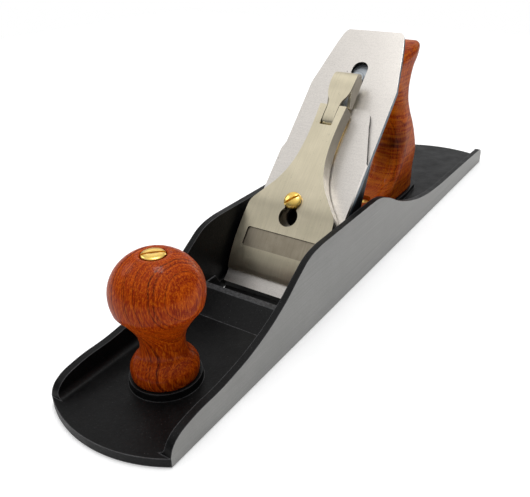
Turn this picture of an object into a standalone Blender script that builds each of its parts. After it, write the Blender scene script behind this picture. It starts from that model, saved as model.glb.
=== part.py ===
"""A metal bench hand plane of the fore-plane size, built from its separate pieces.

Frame: origin at the middle of the sole's underside, toe towards -Y, heel towards +Y, +Z up.
The blade lies on a 45 degree bed, which has a frame of its own: x across, t up the bed
from the line where the blade's face meets the sole, and h out of the blade's face.
"""
import math
import bmesh
import bpy
from mathutils import Matrix, Vector

MM = 0.001
GAP = 0.3 * MM                      # between pieces that touch on the real plane

# Body casting
SOLE_LENGTH = 455 * MM
SOLE_WIDTH = 73 * MM
TOE_RADIUS = 68 * MM                # plan radius of the toe's end
HEEL_RADIUS = 75 * MM
FLOOR = 4.6 * MM                    # thickness of the sole
CHANNEL_HALF = 32.4 * MM            # half the width between the cheeks
CHEEK_HEIGHT = 47.9 * MM
RIB_HEIGHT = 11.5 * MM
BOSS_TOP = 8.4 * MM                 # seats of the knob and of the tote
RAMP_START_Y = -78.4 * MM
RAMP_START_Z = 8.4 * MM
RAMP_ANGLE = math.radians(10)       # slope of the frog's bed
RAMP_END_Y = -14 * MM
SCREW_HOLE_DEPTH = 24 * MM          # the frog's rear screws, into the block behind the ramp

# Frog and its screws
FROG_HALF = 27 * MM
FROG_REAR_Y = -20 * MM
REAR_SCREW_DEPTH = 7.6 * MM         # the rear screws' axes below the ramp
PIN_X = 18 * MM
PIN_Y = -38 * MM

# Bed, blade and cap iron
BED_ANGLE = math.radians(45)
BED_FOOT_Y = -92.06 * MM            # where the blade's face plane meets the sole
BLADE_HALF = 30 * MM
BLADE_THICK = 3 * MM
BLADE_TOP = 192.7 * MM
BLADE_EDGE = 0.8 * MM               # the edge rests just above the sole
GRIND_ANGLE = math.radians(25)
BLADE_SLOT_HALF = 5.3 * MM
BLADE_SLOT_TOP = 168.6 * MM
MOUTH_HALF = 31.6 * MM
MOUTH_FRONT_Y = -93.9 * MM
CAP_IRON_TOP = 133 * MM
CAP_IRON_SCREW_T = 118 * MM

# Lever cap and its screw
SCREW_T = 60.7 * MM
KEYHOLE_T = 51 * MM
RIVET_T = 96.5 * MM
CAM_T = 118.5 * MM
CAM_H = 9 * MM

# Knob and tote
KNOB_Y = -178.1 * MM
TOTE_HALF = 12 * MM
TOTE_FOOT = (97 * MM, BOSS_TOP)     # y, z of the tote stud's foot
TOTE_HEAD = (68 * MM, 119.5 * MM)   # y, z of the tote nut's face
TOE_SCREW_Y = 41 * MM

# Depth adjuster and lateral lever
STUD_Z = 38 * MM
YOKE_T = 95.7 * MM
YOKE_H = -16.5 * MM
LATERAL_PIVOT_T = 135 * MM
LATERAL_DISC_T = 157 * MM

ROUND = 32                          # segments of a visible round piece
SMALL = 20                          # segments of a small or hidden one

# Frames: columns are the world directions of the local axes
SIDE = Matrix(((0, 0, 1, 0), (1, 0, 0, 0), (0, 1, 0, 0), (0, 0, 0, 1)))
END_ON = Matrix(((1, 0, 0, 0), (0, 0, -1, 0), (0, 1, 0, 0), (0, 0, 0, 1)))
C, S = math.cos(BED_ANGLE), math.sin(BED_ANGLE)
BED = Matrix(((1, 0, 0, 0), (0, C, -S, BED_FOOT_Y), (0, S, C, 0), (0, 0, 0, 1)))
BED_SIDE = BED @ SIDE
BED_NORMAL = BED.to_3x3() @ Vector((0, 0, 1))


def clear_scene():
    for item in list(bpy.data.objects):
        bpy.data.objects.remove(item, do_unlink=True)


def collection(name):
    group = bpy.data.collections.new(name)
    bpy.context.scene.collection.children.link(group)
    return group


clear_scene()
PARTS = collection("hand_plane")
CUTTERS = collection("cutters")


def material(name, colour, roughness, metallic):
    mat = bpy.data.materials.new(name)
    mat.use_nodes = True
    shader = mat.node_tree.nodes["Principled BSDF"]
    shader.inputs["Base Color"].default_value = (*colour, 1)
    shader.inputs["Roughness"].default_value = roughness
    shader.inputs["Metallic"].default_value = metallic
    mat.diffuse_color = (*colour, 1)
    return mat


def iron(name):
    return material(name, (0.02, 0.02, 0.022), 0.45, 0.1)


def steel(name):
    return material(name, (0.62, 0.6, 0.58), 0.35, 1)


def brass(name):
    return material(name, (0.78, 0.56, 0.2), 0.25, 1)


def wood(name):
    return material(name, (0.3, 0.06, 0.01), 0.4, 0)


def cap_metal(name):
    return material(name, (0.66, 0.61, 0.5), 0.38, 1)


def mm(points):
    """Points written in millimetres, in metres; a third value, the smooth mark, stays."""
    return [(u * MM, v * MM, *mark) for u, v, *mark in points]


def mirrored(half):
    """A closed outline from its right half."""
    return half + [(-u, v, *mark) for u, v, *mark in reversed(half)]


def bed_point(t, h):
    return BED @ Vector((0, t, h))


def ramp_z(y, lift=0):
    """Height of the frog's bed at y, or of a plane parallel to it."""
    return RAMP_START_Z + (y - RAMP_START_Y) * math.tan(RAMP_ANGLE) + lift


# ---- shapes ------------------------------------------------------------------------------
def shape(name, mesh, frame=None):
    """A new object in the cutters' collection; finish() moves a piece to the parts."""
    item = bpy.data.objects.new(name, mesh)
    item.matrix_world = frame or Matrix()
    item.hide_render = True
    item.display_type = "WIRE"
    CUTTERS.objects.link(item)
    return item


def solid(name, maker, **options):
    """An object from one of the bmesh.ops makers."""
    bm = bmesh.new()
    maker(bm, **options)
    mesh = bpy.data.meshes.new(name)
    bm.to_mesh(mesh)
    bm.free()
    return shape(name, mesh)


def box(name, low, high, frame=None):
    """A box between two corners of a frame."""
    low, high = Vector(low), Vector(high)
    size = high - low
    place = Matrix.Translation((low + high) / 2) @ Matrix.Diagonal((*size, 1))
    item = solid(name, bmesh.ops.create_cube, size=1, matrix=place)
    item.matrix_world = frame or Matrix()
    return item


def rod(name, radius, start, end, segments=SMALL, end_radius=None):
    """A cylinder or cone from start to end."""
    start, end = Vector(start), Vector(end)
    run = end - start
    item = solid(name, bmesh.ops.create_cone, cap_ends=True, segments=segments,
                 radius1=radius, radius2=radius if end_radius is None else end_radius,
                 depth=run.length)
    item.matrix_world = (Matrix.Translation((start + end) / 2)
                         @ run.to_track_quat("Z", "Y").to_matrix().to_4x4())
    return item


def prism(name, points, low, high, frame=None, steps=4):
    """A flat outline between two depths of a frame.

    A point is (u, v) for a sharp corner, or (u, v, 1) where the outline runs smoothly.
    """
    curve = bpy.data.curves.new(name, "CURVE")
    curve.dimensions = "2D"
    curve.fill_mode = "BOTH"
    curve.extrude = (high - low) / 2
    curve.resolution_u = steps
    spline = curve.splines.new("BEZIER")
    spline.bezier_points.add(len(points) - 1)
    for knot, point in zip(spline.bezier_points, points):
        knot.co = (point[0], point[1], 0)
        smooth = len(point) > 2
        knot.handle_left_type = knot.handle_right_type = "AUTO" if smooth else "VECTOR"
    spline.use_cyclic_u = True
    guide = bpy.data.objects.new(name + "_outline", curve)
    CUTTERS.objects.link(guide)
    bpy.context.view_layer.update()
    drawn = guide.evaluated_get(bpy.context.evaluated_depsgraph_get())
    mesh = bpy.data.meshes.new_from_object(drawn)
    bm = bmesh.new()
    bm.from_mesh(mesh)
    bmesh.ops.remove_doubles(bm, verts=bm.verts, dist=1e-6)
    bmesh.ops.dissolve_degenerate(bm, edges=bm.edges, dist=1e-6)
    bmesh.ops.recalc_face_normals(bm, faces=bm.faces)
    bmesh.ops.translate(bm, verts=bm.verts, vec=(0, 0, (low + high) / 2))
    bm.to_mesh(mesh)
    bm.free()
    bpy.data.objects.remove(guide, do_unlink=True)
    return shape(name, mesh, frame)


def turned(name, profile, frame, steps=ROUND):
    """A turned solid: (radius, height) points from top to bottom, about the frame's Z."""
    mesh = bpy.data.meshes.new(name)
    points = [(radius, 0, height) for radius, height in profile]
    mesh.from_pydata(points, [(i, i + 1) for i in range(len(points) - 1)], [])
    item = shape(name, mesh, frame)
    screw = item.modifiers.new("turn", "SCREW")
    screw.steps = screw.render_steps = steps
    screw.use_merge_vertices = True
    screw.merge_threshold = 1e-5
    screw.use_smooth_shade = True
    return item


def ring(name, profile, frame, steps=ROUND):
    """A turned solid with a hole through it: its profile is a closed loop."""
    return turned(name, [*profile, profile[0]], frame, steps)


def combine(target, operation, *tools):
    for tool in tools:
        step = target.modifiers.new(operation.lower(), "BOOLEAN")
        step.operation = operation
        step.solver = "EXACT"
        step.object = tool
    return target


def cut(target, *tools):
    return combine(target, "DIFFERENCE", *tools)


def join(target, *tools):
    return combine(target, "UNION", *tools)


def keep(target, *tools):
    return combine(target, "INTERSECT", *tools)


def soften(item, width, segments=1, angle=35):
    """Rounded edges on everything sharper than the angle."""
    bevel = item.modifiers.new("edges", "BEVEL")
    bevel.width = width
    bevel.segments = segments
    bevel.limit_method = "ANGLE"
    bevel.angle_limit = math.radians(angle)
    bevel.harden_normals = False
    return item


def finish(item, look):
    """A finished piece: into the parts, with its material."""
    CUTTERS.objects.unlink(item)
    PARTS.objects.link(item)
    item.hide_render = False
    item.display_type = "TEXTURED"
    item.data.materials.clear()
    item.data.materials.append(look(item.name))
    item.data.shade_smooth()
    item.data.set_sharp_from_angle(angle=math.radians(30))
    return item


def hinge_at(item, point, along=(1, 0, 0)):
    """Move a piece's origin to its joint's axis, leaving its shape where it is."""
    turn = Vector(along).to_track_quat("Z", "Y").to_matrix().to_4x4()
    place = Matrix.Translation(Vector(point)) @ turn
    item.data.transform(place.inverted() @ item.matrix_world)
    item.matrix_world = place
    return item


def arc(centre, radius, start, end, count):
    """Points on a round stretch, angles in degrees."""
    turns = [math.radians(start + (end - start) * i / count) for i in range(count + 1)]
    return [(centre[0] + radius * math.cos(a), centre[1] + radius * math.sin(a)) for a in turns]


# ---- body casting ------------------------------------------------------------------------
def plan_outline():
    """The sole seen from above: straight sides and a round arc at each end."""
    half, end = SOLE_WIDTH / 2, SOLE_LENGTH / 2
    toe = math.degrees(math.asin(half / TOE_RADIUS))
    heel = math.degrees(math.asin(half / HEEL_RADIUS))
    return (arc((0, TOE_RADIUS - end), TOE_RADIUS, 270 - toe, 270 + toe, 12)
            + arc((0, end - HEEL_RADIUS), HEEL_RADIUS, 90 - heel, 90 + heel, 12))


def cheek_outline():
    """The body from the side: low at both ends, with a flat-topped hump at the bed."""
    end = SOLE_LENGTH / 2 + 1 * MM
    top = CHEEK_HEIGHT
    rise = [(-217, 4.6), (-215.6, 8.6, 1), (-212, 12, 1), (-203, 14.6, 1), (-177, 16.3, 1),
            (-151, 21.4, 1), (-129, 30.4, 1), (-113, 40.4, 1), (-104, 45.4, 1)]
    fall = [(-16, 47.2, 1), (-4, 43.6, 1), (19, 32.9, 1), (43, 24.6, 1), (68, 19, 1),
            (96, 16.1, 1), (145, 14.8, 1), (207, 13.2, 1), (214, 12.7, 1), (217.6, 9.6, 1),
            (218, 4.6)]
    return ([(-end, 0), (-end, FLOOR)] + mm(rise)
            + [(-92 * MM, top - 0.2 * MM, 1), (-82 * MM, top), (-29 * MM, top)]
            + mm(fall)
            + [(end, FLOOR), (end, 0)])


def channel_cutter():
    """The long trough between the cheeks, with a rounded foot along each cheek."""
    inner, foot, top = CHANNEL_HALF, 3 * MM, 60 * MM
    half = [(inner + 0.5 * MM, top)] + arc((inner - foot, FLOOR + foot), foot, 0, -90, 3)
    reach = SOLE_LENGTH / 2 + 5 * MM
    return prism("channel", mirrored(half), -reach, reach, END_ON)


def frog_bed():
    """The ramped block that the frog stands on, with its front along the blade's back."""
    start = 2 * MM
    points = [(RAMP_START_Y - RAMP_START_Z + start, start), (RAMP_START_Y, RAMP_START_Z),
              (RAMP_END_Y - 2 * MM, ramp_z(RAMP_END_Y - 2 * MM)),
              (RAMP_END_Y, ramp_z(RAMP_END_Y) - 1.5 * MM), (RAMP_END_Y, start)]
    return prism("frog_bed", points, -FROG_HALF, FROG_HALF, SIDE)


def cross_rib():
    """The raised rib in front of the mouth, from cheek to cheek."""
    top = RIB_HEIGHT / MM
    points = [(-126, 3), (-126, 4.6), (-124, 5.2), (-111.5, 10.7), (-109.4, top), (-97, top), (-92, 3)]
    reach = CHANNEL_HALF + 1.5 * MM
    return prism("cross_rib", mm(points), -reach, reach, SIDE)


def mouth_cutter():
    """The mouth: upright in front, opening into the throat, and 45 degrees behind."""
    back = BED_FOOT_Y + (BLADE_THICK + 0.6 * MM) * 2 * S
    low, high = -1 * MM, 12.6 * MM
    points = [(MOUTH_FRONT_Y, low), (MOUTH_FRONT_Y, 2.2 * MM), (-106.87 * MM, high),
              (back + high, high), (back + low, low)]
    return prism("mouth", points, -MOUTH_HALF, MOUTH_HALF, SIDE)


def turn_to(way):
    """The turn that brings Z onto a direction."""
    return Vector(way).to_track_quat("Z", "X").to_matrix().to_4x4()


def ramp_direction():
    return Vector((0, math.cos(RAMP_ANGLE), math.sin(RAMP_ANGLE)))


def rear_screw(name, x, radius, near, far, segments=SMALL):
    """A rod on a rear screw's axis: near and far are distances behind the block's rear face."""
    anchor = Vector((x, RAMP_END_Y, ramp_z(RAMP_END_Y) - REAR_SCREW_DEPTH))
    along = ramp_direction()
    return rod(name, radius, anchor + along * near, anchor + along * far, segments)


def pin_frame(x):
    """Frame of a frog pin: Z square to the ramp, origin on the ramp."""
    return (Matrix.Translation((x, PIN_Y, ramp_z(PIN_Y)))
            @ Matrix.Rotation(RAMP_ANGLE, 4, "X"))


def sole_body():
    body = prism("sole_body", cheek_outline(), -SOLE_WIDTH / 2, SOLE_WIDTH / 2, SIDE, 3)
    keep(body, prism("plan", plan_outline(), -1 * MM, 60 * MM))
    cut(body, channel_cutter())
    join(body, cross_rib(), frog_bed())
    foot, top = (0, KNOB_Y, 2 * MM), (0, KNOB_Y, BOSS_TOP)
    join(body, rod("knob_boss", 18.4 * MM, foot, top, ROUND, 17.6 * MM))
    tote_boss = [(26, -7), (26, 7), (34, 11, 1), (60, 13, 1), (104, 13, 1), (120, 9, 1),
                 (123.5, 0, 1), (120, -9, 1), (104, -13, 1), (60, -13, 1), (34, -11, 1)]
    join(body, prism("tote_boss", [(-x * MM, y * MM, *rest) for y, x, *rest in tote_boss],
                     2 * MM, BOSS_TOP))
    cut(body, mouth_cutter())
    for side in (-1, 1):
        x = side * PIN_X
        slot = [(-4.4, -6.6), (4.4, -6.6), (4.4, 6.6), (-4.4, 6.6)]
        cut(body, prism("pin_slot", mm(slot), -12.5 * MM, 3 * MM, pin_frame(x)))
        cut(body, rear_screw("clamp_hole", x, 3.3 * MM, -SCREW_HOLE_DEPTH, 2 * MM))
    cut(body, rear_screw("adjust_hole", 0, 3.3 * MM, -SCREW_HOLE_DEPTH, 2 * MM))
    cut(body, rod("knob_stud_hole", 3.2 * MM, (0, KNOB_Y, 2 * MM), (0, KNOB_Y, BOSS_TOP + MM)))
    foot, along = tote_line()
    cut(body, rod("tote_stud_hole", 3.2 * MM, foot - along * 6 * MM, foot + along * 3 * MM))
    screw_foot, screw_top = (0, TOE_SCREW_Y, 2 * MM), (0, TOE_SCREW_Y, BOSS_TOP + MM)
    cut(body, rod("toe_screw_hole", 2.2 * MM, screw_foot, screw_top))
    return finish(body, iron)


# ---- frog --------------------------------------------------------------------------------
def frog():
    face = -BLADE_THICK - GAP
    plate = 8 * MM
    face_line = BED_FOOT_Y - face * 2 * S          # y of the face plane is z plus this
    back_line = BED_FOOT_Y - (face - plate) * 2 * S
    low = ramp_z(RAMP_START_Y, GAP) + 0.9 * MM
    foot_top = 9.5 * MM
    slope = math.tan(RAMP_ANGLE)
    heel_z = (ramp_z(back_line) + foot_top) / (1 - slope)
    rear = FROG_REAR_Y
    top = bed_point(142 * MM, face)
    points = [(low + face_line, ramp_z(low + face_line, GAP)), (low + face_line, low),
              (top.y, top.z), (top.y + plate * S, top.z - plate * C),
              (heel_z + back_line, heel_z), (rear, ramp_z(rear, foot_top)), (rear, ramp_z(rear, GAP))]
    body = prism("frog", points, -FROG_HALF, FROG_HALF, SIDE)
    outline = [(-27, 10), (27, 10), (27, 88), (24, 104, 1), (19, 122), (19, 139), (16, 142),
               (-16, 142), (-19, 139), (-19, 122), (-24, 104, 1), (-27, 88)]
    keep(body, prism("frog_plan", mm(outline), -90 * MM, 5 * MM, BED))
    rib = [(2, 75), (-21, 24), (-54, 19), (-60, 20), (-6, 74)]
    for side in (-1, 1):
        centre = side * 21 * MM
        join(body, prism("frog_rib", mm(rib),
                         centre - 2.5 * MM, centre + 2.5 * MM, SIDE))
    join(body, rod("stud_boss", 6.5 * MM, (0, -42 * MM, STUD_Z), (0, -23 * MM, STUD_Z)))
    cut(body, rod("stud_hole", 3.3 * MM, (0, -38 * MM, STUD_Z), (0, -22 * MM, STUD_Z)))
    cut(body, box("yoke_slot", (-5 * MM, 88.5 * MM, -14 * MM), (5 * MM, 103 * MM, 0), BED))
    cut(body, box("screw_recess", (-9.5 * MM, 107 * MM, -7.3 * MM), (9.5 * MM, 145 * MM, 0), BED))
    cut(body, rod("cap_screw_hole", 3.4 * MM, bed_point(SCREW_T, -13.5 * MM), bed_point(SCREW_T, 0)))
    pivot = bed_point(LATERAL_PIVOT_T, 0)
    cut(body, rod("pivot_hole", 1.8 * MM, pivot - BED_NORMAL * 13 * MM, pivot))
    for side in (-1, 1):
        x = side * PIN_X
        cut(body, rod("pin_hole", 3.5 * MM, pin_frame(x) @ Vector((0, 0, -2 * MM)),
                      pin_frame(x) @ Vector((0, 0, 12 * MM))))
    yoke = bed_point(YOKE_T, YOKE_H)
    for side in (-1, 1):
        join(body, rod("yoke_lug", 4.5 * MM, yoke + Vector((side * 13 * MM, 0, 0)),
                       yoke + Vector((side * 19.5 * MM, 0, 0))))
        cut(body, rod("yoke_pin_hole", 1.8 * MM, yoke + Vector((side * 12 * MM, 0, 0)),
                      yoke + Vector((side * 25 * MM, 0, 0))))
    cut(body, rod("plate_screw_hole", 2.3 * MM, *plate_screw_line(-9 * MM, 2 * MM)))
    return finish(body, iron)


def plate_screw_line(near, far):
    """Axis of the screw that holds the adjusting plate on the frog's rear face."""
    start = Vector((0, FROG_REAR_Y, ramp_z(FROG_REAR_Y, 6 * MM)))
    return start + Vector((0, near, 0)), start + Vector((0, far, 0))


def frog_pins():
    for name, side in (("frog_pin_right", -1), ("frog_pin_left", 1)):
        profile = [(0, 8), (2.6, 8), (3.1, 7.5), (3.1, -7.5), (3.1, -11.4), (2.6, -12), (0, -12)]
        pin = turned(name, mm(profile), pin_frame(side * PIN_X), SMALL)
        cone = rear_screw("pin_dent", side * PIN_X, 2 * MM, -23 * MM, -18 * MM)
        finish(cut(pin, cone), steel)


def screw_head_slot(name, frame, radius, depth, width=1.2 * MM):
    """The driver's slot across a screw's head: frame Z points out of the head."""
    reach = radius + MM
    return box(name, (-reach, -width / 2, -depth), (reach, width / 2, 3 * MM), frame)


def slotted_screw(name, frame, profile, depth, look, steps=SMALL):
    """A turned screw with its axis on the frame's Z, and a slot across its head."""
    item = turned(name, mm(profile), frame, steps)
    top = profile[0][1] * MM
    reach = max(r for r, z in profile) * MM
    slot_frame = frame @ Matrix.Translation((0, 0, top))
    return finish(cut(item, screw_head_slot("slot", slot_frame, reach, depth)), look)


def rear_frame(x):
    """Frame of a rear screw: Z up the ramp and out of the block's rear face."""
    anchor = Vector((x, RAMP_END_Y, ramp_z(RAMP_END_Y) - REAR_SCREW_DEPTH))
    return Matrix.Translation(anchor) @ turn_to(ramp_direction())


def rear_screws():
    clamp = [(0, 5.4), (4, 5.4), (4.6, 4.8), (4.6, 1.2), (3, 1.2), (3, -17.6), (1.4, -19.4), (0, -19.4)]
    for name, side in (("frog_clamp_screw_right", -1), ("frog_clamp_screw_left", 1)):
        slotted_screw(name, rear_frame(side * PIN_X), clamp, 1.4 * MM, steel)
    adjust = [(0, 10.6), (4, 10.6), (4.6, 10), (4.6, 7.6), (3, 7.6), (3, 5), (4.6, 5), (4.6, 3.6),
              (3, 3.6), (3, -19), (2.4, -20), (0, -20)]
    slotted_screw("frog_adjust_screw", rear_frame(0), adjust, 1.4 * MM, steel)


def adjust_plate():
    """The forked tab on the frog's rear face, in the adjusting screw's groove."""
    rear = -FROG_REAR_Y - GAP
    level = ramp_z(FROG_REAR_Y)
    fork_half, fork_thick = 5 * MM, 1.6 * MM
    web_rear, web_front = -7.9 * MM, -9.5 * MM
    low, high = level + 1.2 * MM, level + 10.4 * MM
    tab = [(-6 * MM, high), (6 * MM, high), (6 * MM, low), (-6 * MM, low)]
    body = prism("frog_adjust_plate", tab, rear - fork_thick, rear, END_ON)
    frame = rear_frame(0)
    groove = 6.3 * MM
    join(body, box("shelf", (-fork_half, -rear, low), (fork_half, web_rear, low + MM)))
    join(body, box("web", (-fork_half, web_front, level - 3 * MM), (fork_half, web_rear, low + MM)))
    join(body, box("fork", (-fork_half, -fork_half, groove - fork_thick / 2),
                   (fork_half, fork_half, groove + fork_thick / 2), frame))
    cut(body, rod("throat", 3.4 * MM, frame @ Vector((0, 0, 0)), frame @ Vector((0, 0, 11 * MM))))
    cut(body, rod("plate_hole", 2.3 * MM, *plate_screw_line(-1 * MM, 6 * MM)))
    return finish(body, steel)


def plate_screw():
    frame = Matrix.Translation(plate_screw_line(0, 0)[0]) @ turn_to((0, 1, 0))
    profile = [(0, 4.2), (2.8, 4.2), (3.5, 3.6), (3.5, 2.3), (2, 2.3), (2, -7.5), (0, -7.5)]
    slotted_screw("frog_plate_screw", frame, profile, 0.9 * MM, steel, 16)


# ---- depth adjuster ----------------------------------------------------------------------
def depth_adjuster():
    axis = Matrix.Translation((0, 0, STUD_Z)) @ Matrix.Rotation(-math.pi / 2, 4, "X")
    stud = [(0, 12), (2.2, 12), (3, 11.2), (3, -36.5), (2.4, -37.4), (0, -37.4)]
    finish(turned("depth_stud", mm(stud), axis, SMALL), steel)
    hub = [(3.4, -3.2), (9, -3.2), (9, -6), (6.2, -6), (6.2, -11), (9, -11), (9, -14), (3.4, -14)]
    hinge_at(finish(ring("depth_wheel_hub", mm(hub), axis), brass),
             (0, -8.5 * MM, STUD_Z), (0, 1, 0))
    wheel = [(3.4, 5), (7, 5), (11.5, 3.2), (13.6, 3.2), (14.4, 2.4), (14.4, -2.1), (13.6, -2.9),
             (3.4, -2.9)]
    disc = ring("depth_wheel", mm(wheel), axis, 40)
    hinge_at(finish(disc, brass), (0, 0, STUD_Z), (0, 1, 0))


def yoke():
    """The forked lever: its finger moves the cap iron, its fork rides in the hub's groove."""
    pivot = bed_point(YOKE_T, YOKE_H)
    body = rod("yoke", 4 * MM, pivot - Vector((8.6 * MM, 0, 0)), pivot + Vector((8.6 * MM, 0, 0)))
    finger = [(-2.4, 0), (2.4, 0), (2.4, 12), (2.3, 17.5, 1), (0, 19.2, 1), (-2.3, 17.5, 1), (-2.4, 12)]
    place = BED_SIDE @ Matrix.Translation((YOKE_T, YOKE_H, 0))
    join(body, prism("finger", mm(finger), -3.4 * MM, 3.4 * MM, place))
    foot_y, foot_z = -8.5 * MM, STUD_Z
    arm = [(pivot.y - 1.8 * MM, pivot.z - 1 * MM), (pivot.y + 3 * MM, pivot.z + 1 * MM),
           (foot_y + 2 * MM, foot_z + 6 * MM), (foot_y + 2 * MM, foot_z - 3 * MM),
           (foot_y - 2 * MM, foot_z - 3 * MM), (foot_y - 2 * MM, foot_z + 4 * MM)]
    for side in (-1, 1):
        inner, outer = sorted((side * 9.6 * MM, side * 12.6 * MM))
        join(body, prism("arm", arm, inner, outer, SIDE))
        join(body, rod("arm_root", 4 * MM, pivot + Vector((side * 8 * MM, 0, 0)),
                       pivot + Vector((side * 12.6 * MM, 0, 0))))
        low, high = sorted((side * 6.9 * MM, side * 10 * MM))
        join(body, box("pad", (low, foot_y - 2 * MM, foot_z - 2.6 * MM),
                       (high, foot_y + 2 * MM, foot_z + 2.6 * MM)))
    reach = Vector((15 * MM, 0, 0))
    cut(body, rod("yoke_bore", 1.8 * MM, pivot - reach, pivot + reach))
    hinge_at(finish(body, steel), pivot)
    reach = Vector((23 * MM, 0, 0))
    finish(rod("yoke_pin", 1.5 * MM, pivot - reach, pivot + reach), steel)


# ---- lateral lever -----------------------------------------------------------------------
def lateral_lever():
    pivot = bed_point(LATERAL_PIVOT_T, 0)
    normal = BED_NORMAL
    top, low = -3.5 * MM, -5.3 * MM
    outline = [(-4, 135, 1), (0, 131, 1), (4, 135, 1), (5, 148, 1), (6.7, 157, 1), (6.7, 168, 1), (5, 172, 1),
               (3.4, 174.6), (-3.4, 174.6), (-5, 172, 1), (-6.7, 168, 1), (-6.7, 157, 1), (-5, 148, 1)]
    body = prism("lateral_lever", mm(outline), low, top, BED)
    bend = [(173, -3.5), (171.5, -5.3), (181, -10.6), (186, -11.8, 1), (188.2, -10.2, 1), (188.6, -7.4),
            (186.8, -7.2), (186.4, -8.8, 1), (184.6, -9.9, 1), (181.6, -8.8)]
    join(body, prism("bend", mm(bend), -3.4 * MM, 3.4 * MM, BED_SIDE))
    cut(body, rod("pivot_bore", 1.8 * MM, pivot - normal * 8 * MM, pivot))
    disc_at = bed_point(LATERAL_DISC_T, 0)
    cut(body, rod("disc_bore", 1.5 * MM, disc_at - normal * 8 * MM, disc_at))
    hinge_at(finish(body, steel), pivot, normal)
    pin = rod("lateral_pivot_pin", 1.5 * MM, pivot - normal * 11 * MM, pivot - normal * 3.4 * MM)
    finish(pin, steel)
    disc_frame = BED @ Matrix.Translation((0, LATERAL_DISC_T, 0))
    profile = [(0, -0.3), (4.2, -0.3), (4.7, -0.7), (4.7, -3.2), (1.2, -3.2), (1.2, -5.8), (0, -5.8)]
    disc = turned("lateral_disc", mm(profile), disc_frame, 24)
    finish(disc, steel)


# ---- blade and cap iron ------------------------------------------------------------------
def slot_outline(half, low, high, count=6):
    """A round-ended slot along t, between the centres of its ends."""
    return arc((0, high), half, 0, 180, count) + arc((0, low), half, 180, 360, count)


def blade():
    top, half, corner = BLADE_TOP, BLADE_HALF, 150.3 * MM
    outline = [(-half, BLADE_EDGE), (half, BLADE_EDGE), (half, corner), (20.4 * MM, top - 1.6 * MM, 1),
               (18.4 * MM, top), (-18.4 * MM, top), (-20.4 * MM, top - 1.6 * MM, 1), (-half, corner)]
    body = prism("blade", outline, -BLADE_THICK, 0, BED)
    rise = math.tan(GRIND_ANGLE)
    reach, past = BLADE_THICK / rise, 0.01 * MM
    bevel = [(BLADE_EDGE - MM, MM * rise), (BLADE_EDGE + reach + past, -BLADE_THICK - past),
             (BLADE_EDGE + reach, -5 * MM), (BLADE_EDGE - MM, -5 * MM)]
    cut(body, prism("grind", bevel, -half - MM, half + MM, BED_SIDE))
    slot = slot_outline(BLADE_SLOT_HALF, 54 * MM, BLADE_SLOT_TOP - BLADE_SLOT_HALF)
    cut(body, prism("blade_slot", slot, -5 * MM, 2 * MM, BED))
    cut(body, prism("screw_pass", arc((0, 54 * MM), 9 * MM, 0, 330, 11), -5 * MM, 2 * MM, BED))
    return finish(body, steel)


def cap_iron():
    profile = [(2.8, 0.35), (4.9, 4), (26, 4.1), (31, 3, 1), (36, 2.8), (133, 2.8), (133, 0.3), (33, 0.3),
               (26, 1.2, 1), (16, 1.4, 1), (8, 1, 1), (3.6, 0.35)]
    body = prism("cap_iron", mm(profile), -BLADE_HALF, BLADE_HALF, BED_SIDE, 3)
    top = CAP_IRON_TOP / MM
    half = [(31, 0), (31, 97.5), (29.9, 97.8), (23.2, 120, 1), (20.7, 125, 1), (20.5, top - 6),
            (19, top - 2, 1), (15, top)]
    keep(body, prism("cap_iron_plan", mm(mirrored(half)), -MM, 9 * MM, BED, 3))
    cut(body, prism("cap_iron_keyhole", slot_outline(4.6 * MM, 58.5 * MM, 72 * MM), -MM, 9 * MM, BED))
    cut(body, prism("keyhole_round", arc((0, 56 * MM), 7.2 * MM, 0, 330, 11), -MM, 9 * MM, BED))
    cut(body, box("yoke_window", (-4.6 * MM, 91.9 * MM, -MM), (4.6 * MM, 99.5 * MM, 9 * MM), BED))
    low, high = bed_point(CAP_IRON_SCREW_T, -MM), bed_point(CAP_IRON_SCREW_T, 9 * MM)
    cut(body, rod("cap_iron_screw_hole", 3.7 * MM, low, high))
    finish(body, steel)
    frame = BED @ Matrix.Translation((0, CAP_IRON_SCREW_T, 0)) @ Matrix.Rotation(math.pi, 4, "X")
    screw = [(0, 6.2), (6.2, 6.2), (7, 5.6), (7, 3.3), (3.4, 3.3), (3.4, -2.6), (0, -2.6)]
    slotted_screw("cap_iron_screw", frame, screw, 1.3 * MM, steel, 24)


# ---- lever cap ---------------------------------------------------------------------------
def lever_cap_plan(inset):
    """The lever cap from the front, drawn inside its outline by the inset."""
    i = inset / MM
    half = [(29.5 - i, 13 + i), (29.5 - i, 50.5 - i / 3, 1), (28.4 - i, 56 - i / 3, 1),
            (24.8 - i, 61 - i / 2, 1), (20.6 - i, 66.2 - i / 2, 1), (15 - i, 74.5 - i / 3, 1),
            (11.2 - i, 84, 1), (9 - i, 96, 1), (8.4 - i, 110, 1), (9 - i, 127.4 - i * 2)]
    return mm(mirrored(half))


def lever_cap_top(inset):
    """The front face from the side, drawn inside the metal by the inset."""
    i = inset / MM
    face = [(12.9 + i, 6.4 - i), (16, 8 - i, 1), (24, 10.4 - i, 1), (34, 11.9 - i, 1), (44, 12.8 - i, 1),
            (52, 13.7 - i, 1), (60, 14.8 - i, 1), (72, 15.2 - i, 1), (90, 15 - i, 1), (110, 14.6 - i, 1),
            (130, 14.2 - i)]
    return mm(face)


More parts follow.
